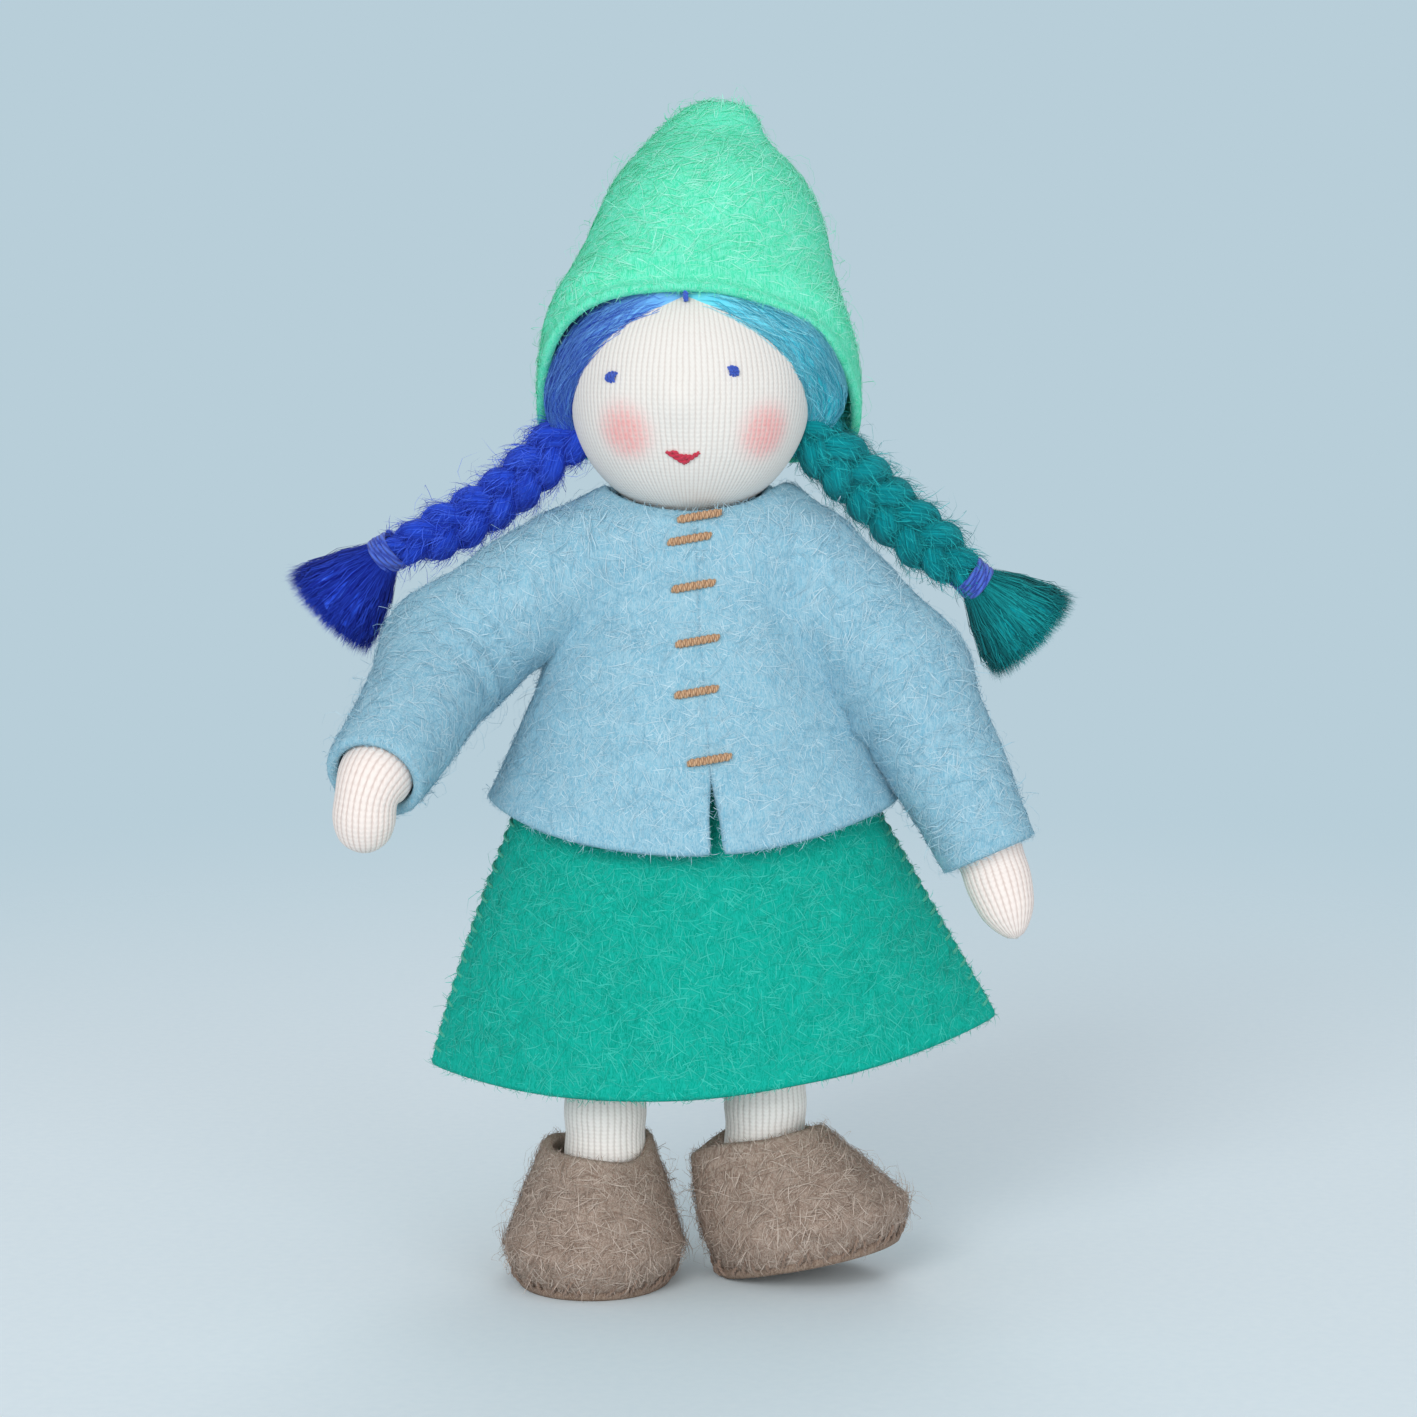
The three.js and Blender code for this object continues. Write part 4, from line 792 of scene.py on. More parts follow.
def head():
    """The stuffed jersey head: rings of the ellipsoid from the crown down to the chin, then a short
    neck. Knit columns run from the crown to the neck."""
    polar = np.radians(np.linspace(0, CHIN_TURN, 96))
    around = full_turn(180) + TURN / 4
    ring = xyz(np.cos(around), np.sin(around), 0)
    ball = ring * np.sin(polar)[:, None, None] + UP * np.cos(polar)[:, None, None]
    skin = head_spot(ball)
    below = np.linspace(0, 1, 14)[1:]
    neck_half, neck_z = mix(*NECK_HALF, below), mix(*NECK_Z, below)
    tail = HEAD + ring * neck_half[:, None, None] + UP * neck_z[:, None, None]
    rows = np.concatenate([skin, tail, np.broadcast_to(tail[-1:].mean(1, keepdims=True), tail[-1:].shape)])
    rows = rows + unit(rows - HEAD) * (0.1 * ripple(rows, 9, 3))[..., None]
    rows[-1] = rows[-1].mean(0)
    cheeks = [(on_head(*spot), CHEEK_REACH) for spot in CHEEKS]
    # The first colour is the painted shade between the knit's loops.
    knit = jersey_finish(
        "face_jersey", ink(213, 204, 197), ink(230, 226, 220), 126.0, 88.0, cheeks, ink(238, 128, 128)
    )
    obj = piece(
        "head", facing(grid(rows, True), HEAD), knit, "head", ("head_skin", "head_core")
    )


def face():
    """Eyes of three short slanting stitches side by side, and a mouth of four stitches in a shallow V."""
    for name, across, down, slant in EYES:
        shapes = []
        for number, long in enumerate(EYE_STITCHES):
            x = across + (number - 1) * EYE_STITCH_STEP
            ends = (on_head(x + slant, down - long), on_head(x - slant, down + long))
            shapes.append(floss(ends, 0.125, 1.5, 0.3, unit(ends[0] - HEAD)))
        piece(f"{name}_stitches", together(shapes), BLUE_THREAD, "head", (name,))
    shapes = [floss((on_head(*a), on_head(*b)), 0.14, 2.0, 0.2) for a, b in MOUTH]
    piece("mouth", together(shapes), RED_THREAD, "head", ("mouth_stitch",))


HAIR_THICK = 1.3
HAIR_FULL = {"right": 0.5, "left": 1.7}  # how much more hair lies at the side of the head
PARTING_TURN = (44.0, 205.0)  # degrees over the crown, from the hairline to the nape
PARTING_ASIDE = -0.035
LOOSE_HAIRS = 2200


def wig(side, along_parting, along_strand, above=0.0):
    """The combed hair of one side. A strand starts on the parting, which runs from the hairline over
    the crown to the nape, and goes the shortest way over the head to the root of the plait."""
    sign = SIDES[side]
    a, t = np.broadcast_arrays(along_parting, along_strand)
    slope = np.radians(mix(*PARTING_TURN, a))
    start = unit(xyz(PARTING_ASIDE, -np.cos(slope), np.sin(slope)))
    root = BENDS[f"plait_swing_{side}"] - HEAD
    gather = xyz(sign * mix(11.7, 10.9, a), root[1] + mix(-2.2, 2.4, a), root[2] + mix(0.5, -0.7, a))
    end = unit(gather / HEAD_HALF)
    angle = np.arccos(np.clip((start * end).sum(-1), -1, 1))[..., None]
    way = np.sin((1 - t[..., None]) * angle) * start + np.sin(t[..., None] * angle) * end
    way = unit(way / np.sin(angle))
    edge = step(0, 0.08, a) * step(0, 0.05, 1 - a) * (0.45 + 0.55 * step(0, 0.12, t))
    lock = np.sin(TURN * (9 * a + 0.3 * np.sin(3 * t))) + 0.6 * np.sin(TURN * (21 * a + 0.4 * t) + 1)
    full = HAIR_FULL[side] * step(0.2, 0.6, t) * step(1.0, 0.75, t)
    full = full + 0.7 * step(0.6, 0.85, t) * step(1.05, 0.9, t)
    high = -0.25 + (HAIR_THICK + 0.07 * lock * step(0, 0.15, t) + full) * edge
    return head_spot(way, (high + above)[..., None])


def hair(side):
    """One side's combed hair, with single hairs lying over it."""
    tones = HAIR[side]
    a = np.linspace(0, 1, 120)[None, :]
    t = np.linspace(0, 1, 60)[:, None]
    shape = facing(grid(wig(side, a, t), False), HEAD)
    piece(f"combed_hair_{side}", shape, tones["combed"], "head", (f"hair_{side}",))
    count = LOOSE_HAIRS
    a = dice.uniform(0.015, 0.5, (count, 1)) ** 1.2
    start = dice.uniform(0, 0.7, (count, 1)) ** 0.7
    t = np.clip(start + dice.uniform(0.15, 0.4, (count, 1)) * np.linspace(0, 1, 4), 0, 1)
    lift = dice.uniform(0.02, 0.36, (count, 1)) * np.array([0, 1, 1, 0.3])
    a = np.clip(a + dice.normal(0, 0.008, (count, 4)), 0, 1)
    nodes = wig(side, a, t, lift)
    shape = spindles(nodes, 0.035, unit(nodes[:, 1] - HEAD))
    piece(f"loose_hairs_{side}", shape, tones["loose"], "head")


def parting():
    """The dark stitch that holds the hair down at the front end of the parting."""
    ends = (on_head(685, 287, 0.9), on_head(686, 301, 0.3))
    shape = floss(ends, 0.16, 2.0, 0.25)
    piece("parting_thread", shape, BLUE_THREAD, "head", ("parting_stitch",))


# Plaits


def centre_of(node):
    """The middle of a CAD node's box."""
    low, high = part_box(node)
    return (np.array(low) + np.array(high)) / 2 / MM - MIDDLE


PLAIT_SAG = {"right": 1.5, "left": 0.4}
PLAIT_BACK = 1.6  # how far a plait bows back, so that a raised sleeve passes before it
PLAIT_ROOT_FORE = 1.3  # how far forward it starts
PLAIT_THICK = {"right": 1.0, "left": 1.14}
PLAIT_PITCH = 10.6  # the way along in which a strand swings to and fro once
STRANDS = 3
STRAND_HALF = 1.42
STRAND_SWING, STRAND_WEAVE = 1.5, 0.85  # across the plait, and in and out of it
TASSEL_TURN = {"right": 12.0, "left": 2.0}  # degrees by which it hangs below the plait's line
TASSEL_LONG = 9.4
TASSEL_CORE = 0.84  # the core's share of that
TASSEL_STRANDS = 8000


def plait(side):
    """Three strands of wool. About the plait's line each swings across by sin(a) and in and out by
    sin(2a), a third of a turn after the one before; the line bows down and back by sin(pi s)."""
    tones = HAIR[side]
    root = BENDS[f"plait_swing_{side}"]
    tie = centre_of(f"plait_tie_{side}")
    way = unit(tie - root)
    long = np.linalg.norm(tie - root)
    across = unit(np.cross(way, BACK))
    deep = np.cross(way, across)
    s = np.linspace(-0.16, 1.0, 120)
    bow = np.sin(np.clip(s, 0, 1) * math.pi)
    line = root + way * (long * s)[:, None]
    line = line + BACK * (PLAIT_BACK * bow - PLAIT_ROOT_FORE * step(0.5, 0.0, s))[:, None]
    line = line - across * np.sign(across[2]) * (PLAIT_SAG[side] * bow)[:, None]
    taper = PLAIT_THICK[side] * mix(0.95, 1.0, step(-0.1, 0.2, s)) * mix(1.0, 0.62, step(0.7, 1.0, s))
    shapes = []
    for number in range(STRANDS):
        swing = TURN * (s * long / PLAIT_PITCH + number / STRANDS)
        path = line + across * (STRAND_SWING * taper * np.sin(swing))[:, None]
        path = path + deep * (STRAND_WEAVE * taper * np.sin(2 * swing))[:, None]
        wide = STRAND_HALF * taper * rounded(len(s), 0.04)
        shapes.append(tube(path, wide, 24, deep, 0.92, groove=0.1, grooves=5, twist=2.5))
    shape = together(shapes)
    bend = ("head", f"plait_{side}", root - way * 2.0, root + way * 6.0)
    piece(f"plaited_hair_{side}", shape, tones["plait"], bend, (f"plait_{side}",))
    loose = together([fuzz(shape, 5.0, 1.8, 0.12, 0.03, way), fuzz(shape, 0.45, 2.4, 0.4, 0.02)])
    piece(f"plaited_hair_{side}_strands", loose, tones["strand"], bend)
    band = wound(tie, way, 1.8, 4.5, 0.3, 0.85, deep)
    piece(
        f"plait_binding_{side}", band, VIOLET_THREAD, f"plait_{side}", (f"plait_tie_{side}",)
    )
    tassel(side, tie, way, across, deep)


def tassel(side, tie, way, across, deep):
    """The plait's cut end: a fan of wool, round at the tie and flat towards the straight cut, which the
    core stops short of. Single fibres run through it from the tie to the cut, like a brush."""
    tones = HAIR[side]
    down = -across * np.sign(across[2])
    turn = math.radians(TASSEL_TURN[side])
    way, down = way * math.cos(turn) + down * math.sin(turn), down * math.cos(turn) - way * math.sin(turn)
    rows, columns = 34, 72
    s = np.linspace(0, TASSEL_CORE, rows)[:, None]
    around = full_turn(columns)
    wide = mix(1.5, 5.4, s**0.85)
    thick = mix(1.4, 2.5, step(0, 0.8, s))
    uneven = 1 + 0.05 * np.sin(11 * around + 2 * s) + 0.03 * np.sin(23 * around + 1)
    reach = TASSEL_LONG * s * (1 + 0.02 * np.sin(around * 17))
    points = tie + way * reach[..., None] + down * (wide * uneven * np.cos(around))[..., None]
    points = points + deep * (thick * uneven * np.sin(around))[..., None]
    end = points[-1:].mean(1, keepdims=True)
    cap = [mix(points[-1:], end, share) + way * 0.35 * share for share in (0.4, 0.75, 1.0)]
    start = np.broadcast_to(points[:1].mean(1, keepdims=True), points[:1].shape)
    shape = grid(np.concatenate([start, points, *cap]), True)
    shape = facing(shape, points.mean((0, 1)))
    piece(f"cut_tassel_{side}", shape, tones["plait"], f"plait_{side}", (f"tassel_{side}",))
    count = TASSEL_STRANDS
    place = np.sqrt(dice.uniform(0.1, 1.0, (count, 1)))
    turn = dice.uniform(0, TURN, (count, 1))
    s = np.array([0.05, 0.4, 0.75, 1.0])[None, :]
    stray = dice.normal(0, 0.42, (count, 4)) * np.sqrt(s)
    x = mix(1.5, 5.5, s**0.85) * place * np.cos(turn) * 1.03 + stray
    y = mix(1.4, 2.55, np.clip(s * 1.2, 0, 1)) * place * np.sin(turn) * 1.05
    y = y + dice.normal(0, 0.2, (count, 4)) * np.sqrt(s)
    z = TASSEL_LONG * s * dice.uniform(0.88, 1.07, (count, 1))
    nodes = tie + way * z[..., None] + down * x[..., None] + deep * y[..., None]
    out = unit(down * x[:, 2:3] + deep * y[:, 2:3] * 2)
    shape = spindles(nodes, 0.05, out)
    piece(f"cut_tassel_{side}_strands", shape, tones["tuft"], f"plait_{side}")


# Hat


HAT_LOW, HAT_HIGH = 87.4, 117.5
HAT_LEVELS = [0, 0.11, 0.25, 0.38, 0.51, 0.64, 0.775, 0.906, 0.97, 0.988, 0.996, 1]
HAT_HALF = curve(HAT_LEVELS, [16.15, 16.1, 14.9, 13.4, 12.1, 10.8, 8.45, 5.0, 3.2, 2.2, 1.15, 0])
HAT_SHIFT = curve(HAT_LEVELS, [0.98, 0.88, 0.82, 1.1, 1.55, 1.8, 1.85, 2.3, 3.2, 3.5, 3.6, 3.6])
HAT_LEAN = 51.3  # degrees by which the rim leans back
HAT_BACK_DROP = 0.5  # how far the back of the rim drops, as a share of how far the front rises
HAT_SQUARE = 0.09
HAT_TIP_TILT = 0.12
HAT_INSIDE = np.array([1.5, 2.0, 98.0])
HAT_STITCH = ((0, -0.05), (0.012, 0.05))  # its ends: up the hat, and round it from the back


def hat_spot(up, around):
    """A spot on the hat's outside: rings from the rim up. Each ring leans back with the rim, less towards
    the tip, which is a small blunt fold that leans to the doll's left. The rim is squarer at the front of
    the doll's right side, by sin^2 of twice the turn."""
    up, around = np.broadcast_arrays(up, around)
    half = np.maximum(HAT_HALF(up), 0)
    lean = np.radians(HAT_LEAN) * (1 - up) ** 1.15
    fold = step(0.8, 1, up)
    bowed = 0.9 + 2.1 * up + 2 * np.sin(math.pi * np.sqrt(up))
    centre = xyz(HAT_SHIFT(up), bowed, mix(HAT_LOW, HAT_HIGH, up))
    right, back = np.cos(around), np.sin(around)
    drop = mix(1.0, HAT_BACK_DROP, step(0, 1, back))
    square = 1 + HAT_SQUARE * np.sin(2 * around) ** 2 * (right < 0) * (back < 0) * (1 - up) ** 3
    back = back * np.where(back > 0, mix(1.05, 1.0, up), 1.0) * mix(1.0, 0.72, fold) * half * square
    right = right * half * square
    rise = -HAT_TIP_TILT * fold * right - back * drop * np.sin(lean)
    spot = centre + xyz(right, back * np.cos(lean), rise)
    return spot + unit(spot - centre) * (0.28 * ripple(spot, 16, 5) * half / 16)[..., None]


def hat():
    """The felt cone on the head, with the seam up its back."""
    up = np.concatenate([np.linspace(0, 0.9, 70), 0.9 + 0.1 * np.sin(np.linspace(0, 1, 27)[1:] * TURN / 4)])
    points = hat_spot(up[:, None], full_turn(150)[None, :])
    points[-1] = points[-1].mean(0)
    shape = facing(grid(points, True), HAT_INSIDE)

    def round_about(feet):
        return unit(xyz(HAT_INSIDE[1] - feet[:, 1], feet[:, 0] - HAT_INSIDE[0], 3.0))

    felt_piece(
        "hat_cone", shape, HAT_CLOTH, "head", ("hat",),
        lean=round_about,
    )
    shapes = []
    for up in np.linspace(0.03, 0.86, 17):
        ends = [hat_spot(up + rise, TURN / 4 + turn) for rise, turn in HAT_STITCH]
        shapes.append(floss(ends, 0.13, 2.0, 0.25, (0.0, 1.0, 0.2)))
    piece("hat_seam", together(shapes), GREEN_THREAD, "head")


# Jacket


COAT_Z = [48.8, 54.98, 61.16, 65.69, 69.4, 73.77, 76.2, 77.9, 79.1]
COAT_HALF_WIDTH = curve(COAT_Z, [20.5, 17.35, 14.45, 12.7, 11.7, 11.8, 11.45, 10.4, 8.4])
COAT_HALF_DEPTH = curve(COAT_Z, [14.0, 12.38, 10.76, 9.57, 8.6, 8.03, 7.6, 7.2, 6.5])
COAT_FRONT_DIP = curve(COAT_Z, [3.6, 1.24, 0.23, 0.02, 0.0, 0.0, 0.4, 0.9, 1.5])
COAT_BACK_DIP = curve(COAT_Z, [3.6, 1.24, 0.23, 0.02, 0.0, 0.0, -0.4, -0.8, -1.0])
HEM_Z, COLLAR_Z = COAT_Z[0], COAT_Z[-1]
HEM_SPREAD = 0.45  # how fast the trunk would widen below its hem
ARM_BENDS = ("shoulder_raise", "elbow_bend", "wrist_bend")
SLEEVE_AT = [-4, 0, 6, 12, 18, 26, 34.6]  # from the shoulder
SLEEVE_HALF = [4.6, 5.6, 6.3, 6.3, 6.1, 5.6, 4.9]
SLEEVE_START = -7.0  # from the shoulder, within the trunk
SLEEVE_SPLIT = 12.6  # from the shoulder, where the upper sleeve goes over into the lower one
ELBOW_ROUND = 2.5
CUFF_BEFORE_WRIST = {"right": 2.8, "left": 0.6}
ARMPIT_Z = (64, 69)
TUCK = (9.0, 1.6)  # how far a piece goes in under its neighbour, below the armpit and above it
TRUNK_INSIDE = np.array([0, 0, 62.0])


def arm(side):
    """Shoulder, elbow and cuff of one arm."""
    shoulder, elbow, wrist = (BENDS[f"{bend}_{side}"] for bend in ARM_BENDS)
    return shoulder, elbow, wrist - unit(wrist - elbow) * CUFF_BEFORE_WRIST[side]


def coat_body(p):
    """How far a point is outside the jacket's trunk: its distance out along the ray from the middle
    line, with an ellipse at each height."""
    z = np.clip(p[..., 2], HEM_Z, COLLAR_Z)
    below = np.maximum(HEM_Z - p[..., 2], 0) * HEM_SPREAD
    wide = COAT_HALF_WIDTH(z) + below
    deep = COAT_HALF_DEPTH(z) + below
    share = np.maximum(np.hypot(p[..., 0] / wide, p[..., 1] / deep), 1e-6)
    return (share - 1) * np.hypot(p[..., 0], p[..., 1]) / share


def sleeve_half(t):
    """The sleeve's half width at a distance from the shoulder."""
    return np.interp(t, SLEEVE_AT, SLEEVE_HALF)


def rod_depth(p, a, b, start):
    """How far a point is outside a rod from a to b whose half width follows the sleeve."""
    way = b - a
    share = np.clip((p - a) @ way / (way @ way), 0, 1)
    from_line = np.linalg.norm(p - a - share[..., None] * way, axis=-1)
    return from_line - sleeve_half(start + share * np.linalg.norm(way))


def softly(a, b, reach):
    """The smaller of two depths, rounded where they are within `reach` of each other."""
    near = np.maximum(reach - np.abs(a - b), 0) / reach
    return np.minimum(a, b) - near * near * reach / 4


def coat_sleeve(side, p):
    """How far a point is outside one sleeve."""
    shoulder, elbow, cuff = arm(side)
    inner = shoulder + unit(elbow - shoulder) * SLEEVE_AT[0]
    upper = rod_depth(p, inner, elbow, SLEEVE_AT[0])
    lower = rod_depth(p, elbow, cuff, np.linalg.norm(elbow - shoulder))
    return softly(upper, lower, ELBOW_ROUND)


def coat(p):
    """How far a point is outside the jacket: trunk and sleeves run into each other, softly over the
    shoulder and sharply under the arm."""
    depth = coat_body(p)
    for side in SIDES:
        depth = softly(depth, coat_sleeve(side, p), blend_reach(p))
    return depth


def blend_reach(p):
    """How wide the rounding between trunk and sleeve is at a height: widest over the shoulder, narrow
    under the arm and at the collar."""
    return mix(2.6, 6.5, step(65, 75, p[..., 2])) * mix(1.0, 0.4, step(75.5, 78.5, p[..., 2]))


def gradient(depth, p):
    """The direction and rate at which a depth grows, by small steps along each axis."""
    small = 0.02
    return np.stack([depth(p + d) - depth(p - d) for d in np.eye(3) * small], -1) / (2 * small)


def settle(p, depth):
    """Points moved onto a surface by six steps down its depth."""
    for _ in range(6):
        rate = gradient(depth, p)
        p = p - rate * (depth(p) / np.maximum((rate * rate).sum(-1), 0.2))[..., None]
    return p


def joined(points, own, other, closed, inside):
    """A jacket piece that runs into its neighbour. At distance d from the neighbour it swells out along
    its own normal by reach/4 (1 - d/reach)^2, so that both meet in a rounded crease; within the
    neighbour it dives under and is cut, further in under the arm, where a raised arm draws the sleeve
    out. Gives the piece and the part of it that shows."""
    apart = other(points)
    reach = blend_reach(points)
    swell = np.where(
        apart > 0, reach / 4 * np.clip(1 - apart / reach, 0, 1) ** 2, reach / 4 + 0.8 * np.maximum(apart, -3)
    )
    points = points + unit(gradient(own, points)) * swell[..., None]
    points, faces, uv = facing(grid(points, closed), inside)
    apart = apart.reshape(-1)
    tuck = mix(*TUCK, step(*ARMPIT_Z, points[:, 2]))
    keep = (apart + tuck)[faces].max(1) > 0
    bare = apart[faces].min(1) > 0.2
    return (points, faces[keep], uv[keep]), (points, faces[bare], uv[bare])


def jacket_body():
    """The trunk of the jacket, open down the front: rings from hem to collar, from one front edge
    round the back to the other. The opening widens to a slit at the hem."""
    rows, columns = 84, 190
    v = np.linspace(0, 1, rows)[:, None]
    z = mix(HEM_Z, COLLAR_Z, v)
    opening = np.radians(-90 + mix(7.6, 2.5, v))
    gap = 0.22 + 0.85 * step(0.24, 0.02, v)
    half_gap = gap / np.maximum(COAT_HALF_WIDTH(z), 1)
    turn = opening + half_gap + (TURN - 2 * half_gap) * np.linspace(0, 1, columns)[None, :]
    front = np.sin(turn) < 0
    dip = np.where(front, COAT_FRONT_DIP(z), COAT_BACK_DIP(z)) * np.sin(turn) ** 2
    wave = 1 + 0.022 * np.sin(3 * turn + 0.8) * step(0.5, 0, v)
    points = xyz(
        COAT_HALF_WIDTH(z) * np.cos(turn) * wave, COAT_HALF_DEPTH(z) * np.sin(turn) * wave, z - dip
    )
    points = points + unit(points * LEVEL) * (0.25 * ripple(points, 13, 8) * step(0.9, 0.6, v))[..., None]

    def sleeves(p):
        return np.minimum(coat_sleeve("left", p), coat_sleeve("right", p))

    return joined(points, coat_body, sleeves, False, TRUNK_INSIDE)


def sleeve(side, start, end, rows):
    """Part of a sleeve: rings about a smooth line from shoulder to elbow to cuff, settled onto the
    sleeve's surface, with a few creases inside the elbow."""
    shoulder, elbow, cuff = arm(side)
    upper, lower = unit(elbow - shoulder), unit(cuff - elbow)
    long = np.linalg.norm(elbow - shoulder)
    whole = long + np.linalg.norm(cuff - elbow)
    line = curve(
        [-5, 0, long - 4, long + 4, whole],
        [shoulder - upper * 5, shoulder, elbow - upper * 4, elbow + lower * 4, cuff],
    )
    t = np.linspace(start, whole if end is None else end, rows)
    middle = line(t)
    along = unit(line(t + 0.05) - line(t - 0.05))
    first = unit(np.cross(along, BACK))
    second = np.cross(along, first)
    turn = full_turn(84)
    ring = first[:, None] * np.cos(turn)[None, :, None] + second[:, None] * np.sin(turn)[None, :, None]

    def own(p):
        return coat_sleeve(side, p)

    points = settle(middle[:, None] + ring * sleeve_half(t)[:, None, None], own)
    inner = unit(lower - upper)
    crease = np.clip((ring * inner).sum(-1), 0, 1) ** 2 * np.exp(-((t[:, None] - long) / 5) ** 2)
    points = points + ring * (0.35 * crease * np.sin(t * 1.5)[:, None])[..., None]
    off_cuff = step(whole + 0.1, whole - 5, t)[:, None]
    points = points + ring * (0.22 * ripple(points, 10, 9) * off_cuff)[..., None]
    return joined(points, own, coat_body, True, middle.mean(0))


COLLAR_BEND = (73.5, 79.5)  # heights
SHOULDER_BEND = (-5.0, 3.5)  # from the shoulder along the arm
ELBOW_BEND = (-1.2, 4.8)  # from the elbow along the sleeve
# The front stitches in dots of the picture: their middles, and their ends from there
FRONT_STITCHES = ((700, 516), (690, 539), (694, 586), (698, 641), (697, 692), (710, 760))
FRONT_STITCH_ENDS = ((-23, 4), (22, -4))


def jacket():
    """The jacket's trunk and sleeves, and the six stitches that close its front."""
    trunk, shown = jacket_body()
    at_collar = ("torso", "neck", *(UP * z for z in COLLAR_BEND))
    felt_piece(
        "jacket_trunk", trunk, JACKET_CLOTH, at_collar, ("jacket_body",),
        shown,
    )
    for side in SIDES:
        shoulder, elbow, cuff = arm(side)
        start, end = (shoulder + unit(elbow - shoulder) * along for along in SHOULDER_BEND)
        at_shoulder = ("torso", f"upper_arm_{side}", start, end)
        upper, shown = sleeve(side, SLEEVE_START, SLEEVE_SPLIT, 56)
        felt_piece(
            f"upper_sleeve_{side}", upper, JACKET_CLOTH, at_shoulder, (f"sleeve_upper_{side}",),
            shown,
        )
        bend = unit(unit(elbow - shoulder) + unit(cuff - elbow))
        start, end = (elbow + bend * along for along in ELBOW_BEND)
        at_elbow = (f"upper_arm_{side}", f"forearm_{side}", start, end)
        lower, shown = sleeve(side, SLEEVE_SPLIT, None, 54)
        felt_piece(
            f"lower_sleeve_{side}", lower, JACKET_CLOTH, at_elbow, (f"sleeve_lower_{side}",),
            shown,
        )
    for number, (across, down) in enumerate(FRONT_STITCHES, 1):
        ends = [on_jacket(across + x, down + y) for x, y in FRONT_STITCH_ENDS]
        shape = floss(ends, 0.24, 4.0, 0.3, (0.0, -1.0, 0.15), 40)
        node = f"jacket_stitch_{number}"
        piece(f"front_stitch_{number}", shape, TAN_THREAD, at_collar, (node,))


def on_jacket(across, down):
    """The spot on the front of the jacket behind a dot of the picture: steps along the line of sight
    as long as the depth that is left."""
    spot, way = sight(across, down)
    spot = spot + way * (CAMERA_BACK - 60)
    for _ in range(60):
        spot = spot + way * float(coat(spot[None])[0]) * 0.8
    return spot


# Skirt


SKIRT_HEM, SKIRT_TOP = 21.5, 60.4
SKIRT_WIDE = (21.2, 56.8)  # at the waist and at the hem
SKIRT_DEEP = (13.0, 30.0)
SKIRT_FLARE = 0.86
SEAM_IN = 0.075  # the seam's stitches from the edge, as a share of the panel
STITCH_SINK, STITCH_OUT = 0.1, 0.9  # how deep a stitch's ends sit, and how far it is drawn out
WAIST_Z = 59.0


def skirt_panel(face, across, up):
    """One skirt panel. From side seam to side seam it bows out to the front or back; towards the hem it
    widens as (1 - height)^SKIRT_FLARE, and the hem rises at the seams."""
    side = np.sin((across - 0.5) * math.pi)
    hem = SKIRT_HEM + 2.7 * side**2 + 2.5 * side
    wide = mix(*SKIRT_WIDE, (1 - up) ** SKIRT_FLARE) / 2
    deep = mix(*SKIRT_DEEP, (1 - up) ** SKIRT_FLARE) / 2
    bow = np.maximum(1 - side**2, 0) ** mix(0.8, 0.5, up)
    wave = 0.5 * np.sin(across * 9 + face) * (1 - up) * bow
    off_seam = 0.32 + bow * deep + wave
    return xyz(2.3 * (1 - up) ** 2 + side * wide, face * off_seam, mix(hem, SKIRT_TOP, up))


def skirt():
    """Front and back panel, the overcast stitches of the two side seams, and the thread round the waist."""
    across = np.linspace(0, 1, 120)[None, :]
    up = np.linspace(0, 1, 70)[:, None]
    for name, face in (("skirt_front", -1), ("skirt_back", 1)):
        points = skirt_panel(face, across, up)
        points = points + face * BACK * (0.2 * ripple(points, 14, 12))[..., None]
        shape = facing(grid(points, False), np.array([0, -face * 20.0, 40.0]))
        felt_piece(
            f"{name}_panel", shape, SKIRT_CLOTH, "torso", (name,),
        )
    shapes = []
    s = np.linspace(0, 1, 22)[:, None]
    for seam_at, inward in ((0.0, SEAM_IN), (1.0, -SEAM_IN)):
        for height in np.linspace(0.03, 0.66, 17):
            front = skirt_panel(-1, np.array(seam_at + inward), np.array(height))
            back = skirt_panel(1, np.array(seam_at + inward), np.array(height + 0.025))
            edge = skirt_panel(-1, np.array(seam_at), np.array(height + 0.012)) * [1, 0, 1]
            out = np.array([math.copysign(1, edge[0]), 0, 0])
            front, back = front - out * STITCH_SINK, back - out * STITCH_SINK
            path = (1 - s) ** 2 * front + 2 * s * (1 - s) * (edge + out * STITCH_OUT) + s**2 * back
            shapes.append(tube(path, 0.16 * rounded(len(s), 0.08), 8, UP))
    piece("skirt_seam_stitches", together(shapes), GREEN_THREAD, "torso")
    band = wound(UP * WAIST_Z, UP, 9.9, 3, 0.32, 0.6, BACK)
    piece("waist_winding", band, GREEN_THREAD, "torso", ("waist_thread",))


# Hands, legs and shoes


# The first colour of each knit is the painted shade between its loops.
HAND_JERSEY = jersey_finish("hand_jersey", ink(210, 190, 181), ink(240, 228, 221), 30.0, 22.0)
LEG_JERSEY = jersey_finish("leg_jersey", ink(216, 208, 202), ink(250, 245, 240), 38.0, 84.0)
HAND_REACH = {"right": 6.4, "left": 8.6}
HAND_HALF = {"right": 3.05, "left": 3.3}
LEG_HALF = 4.0


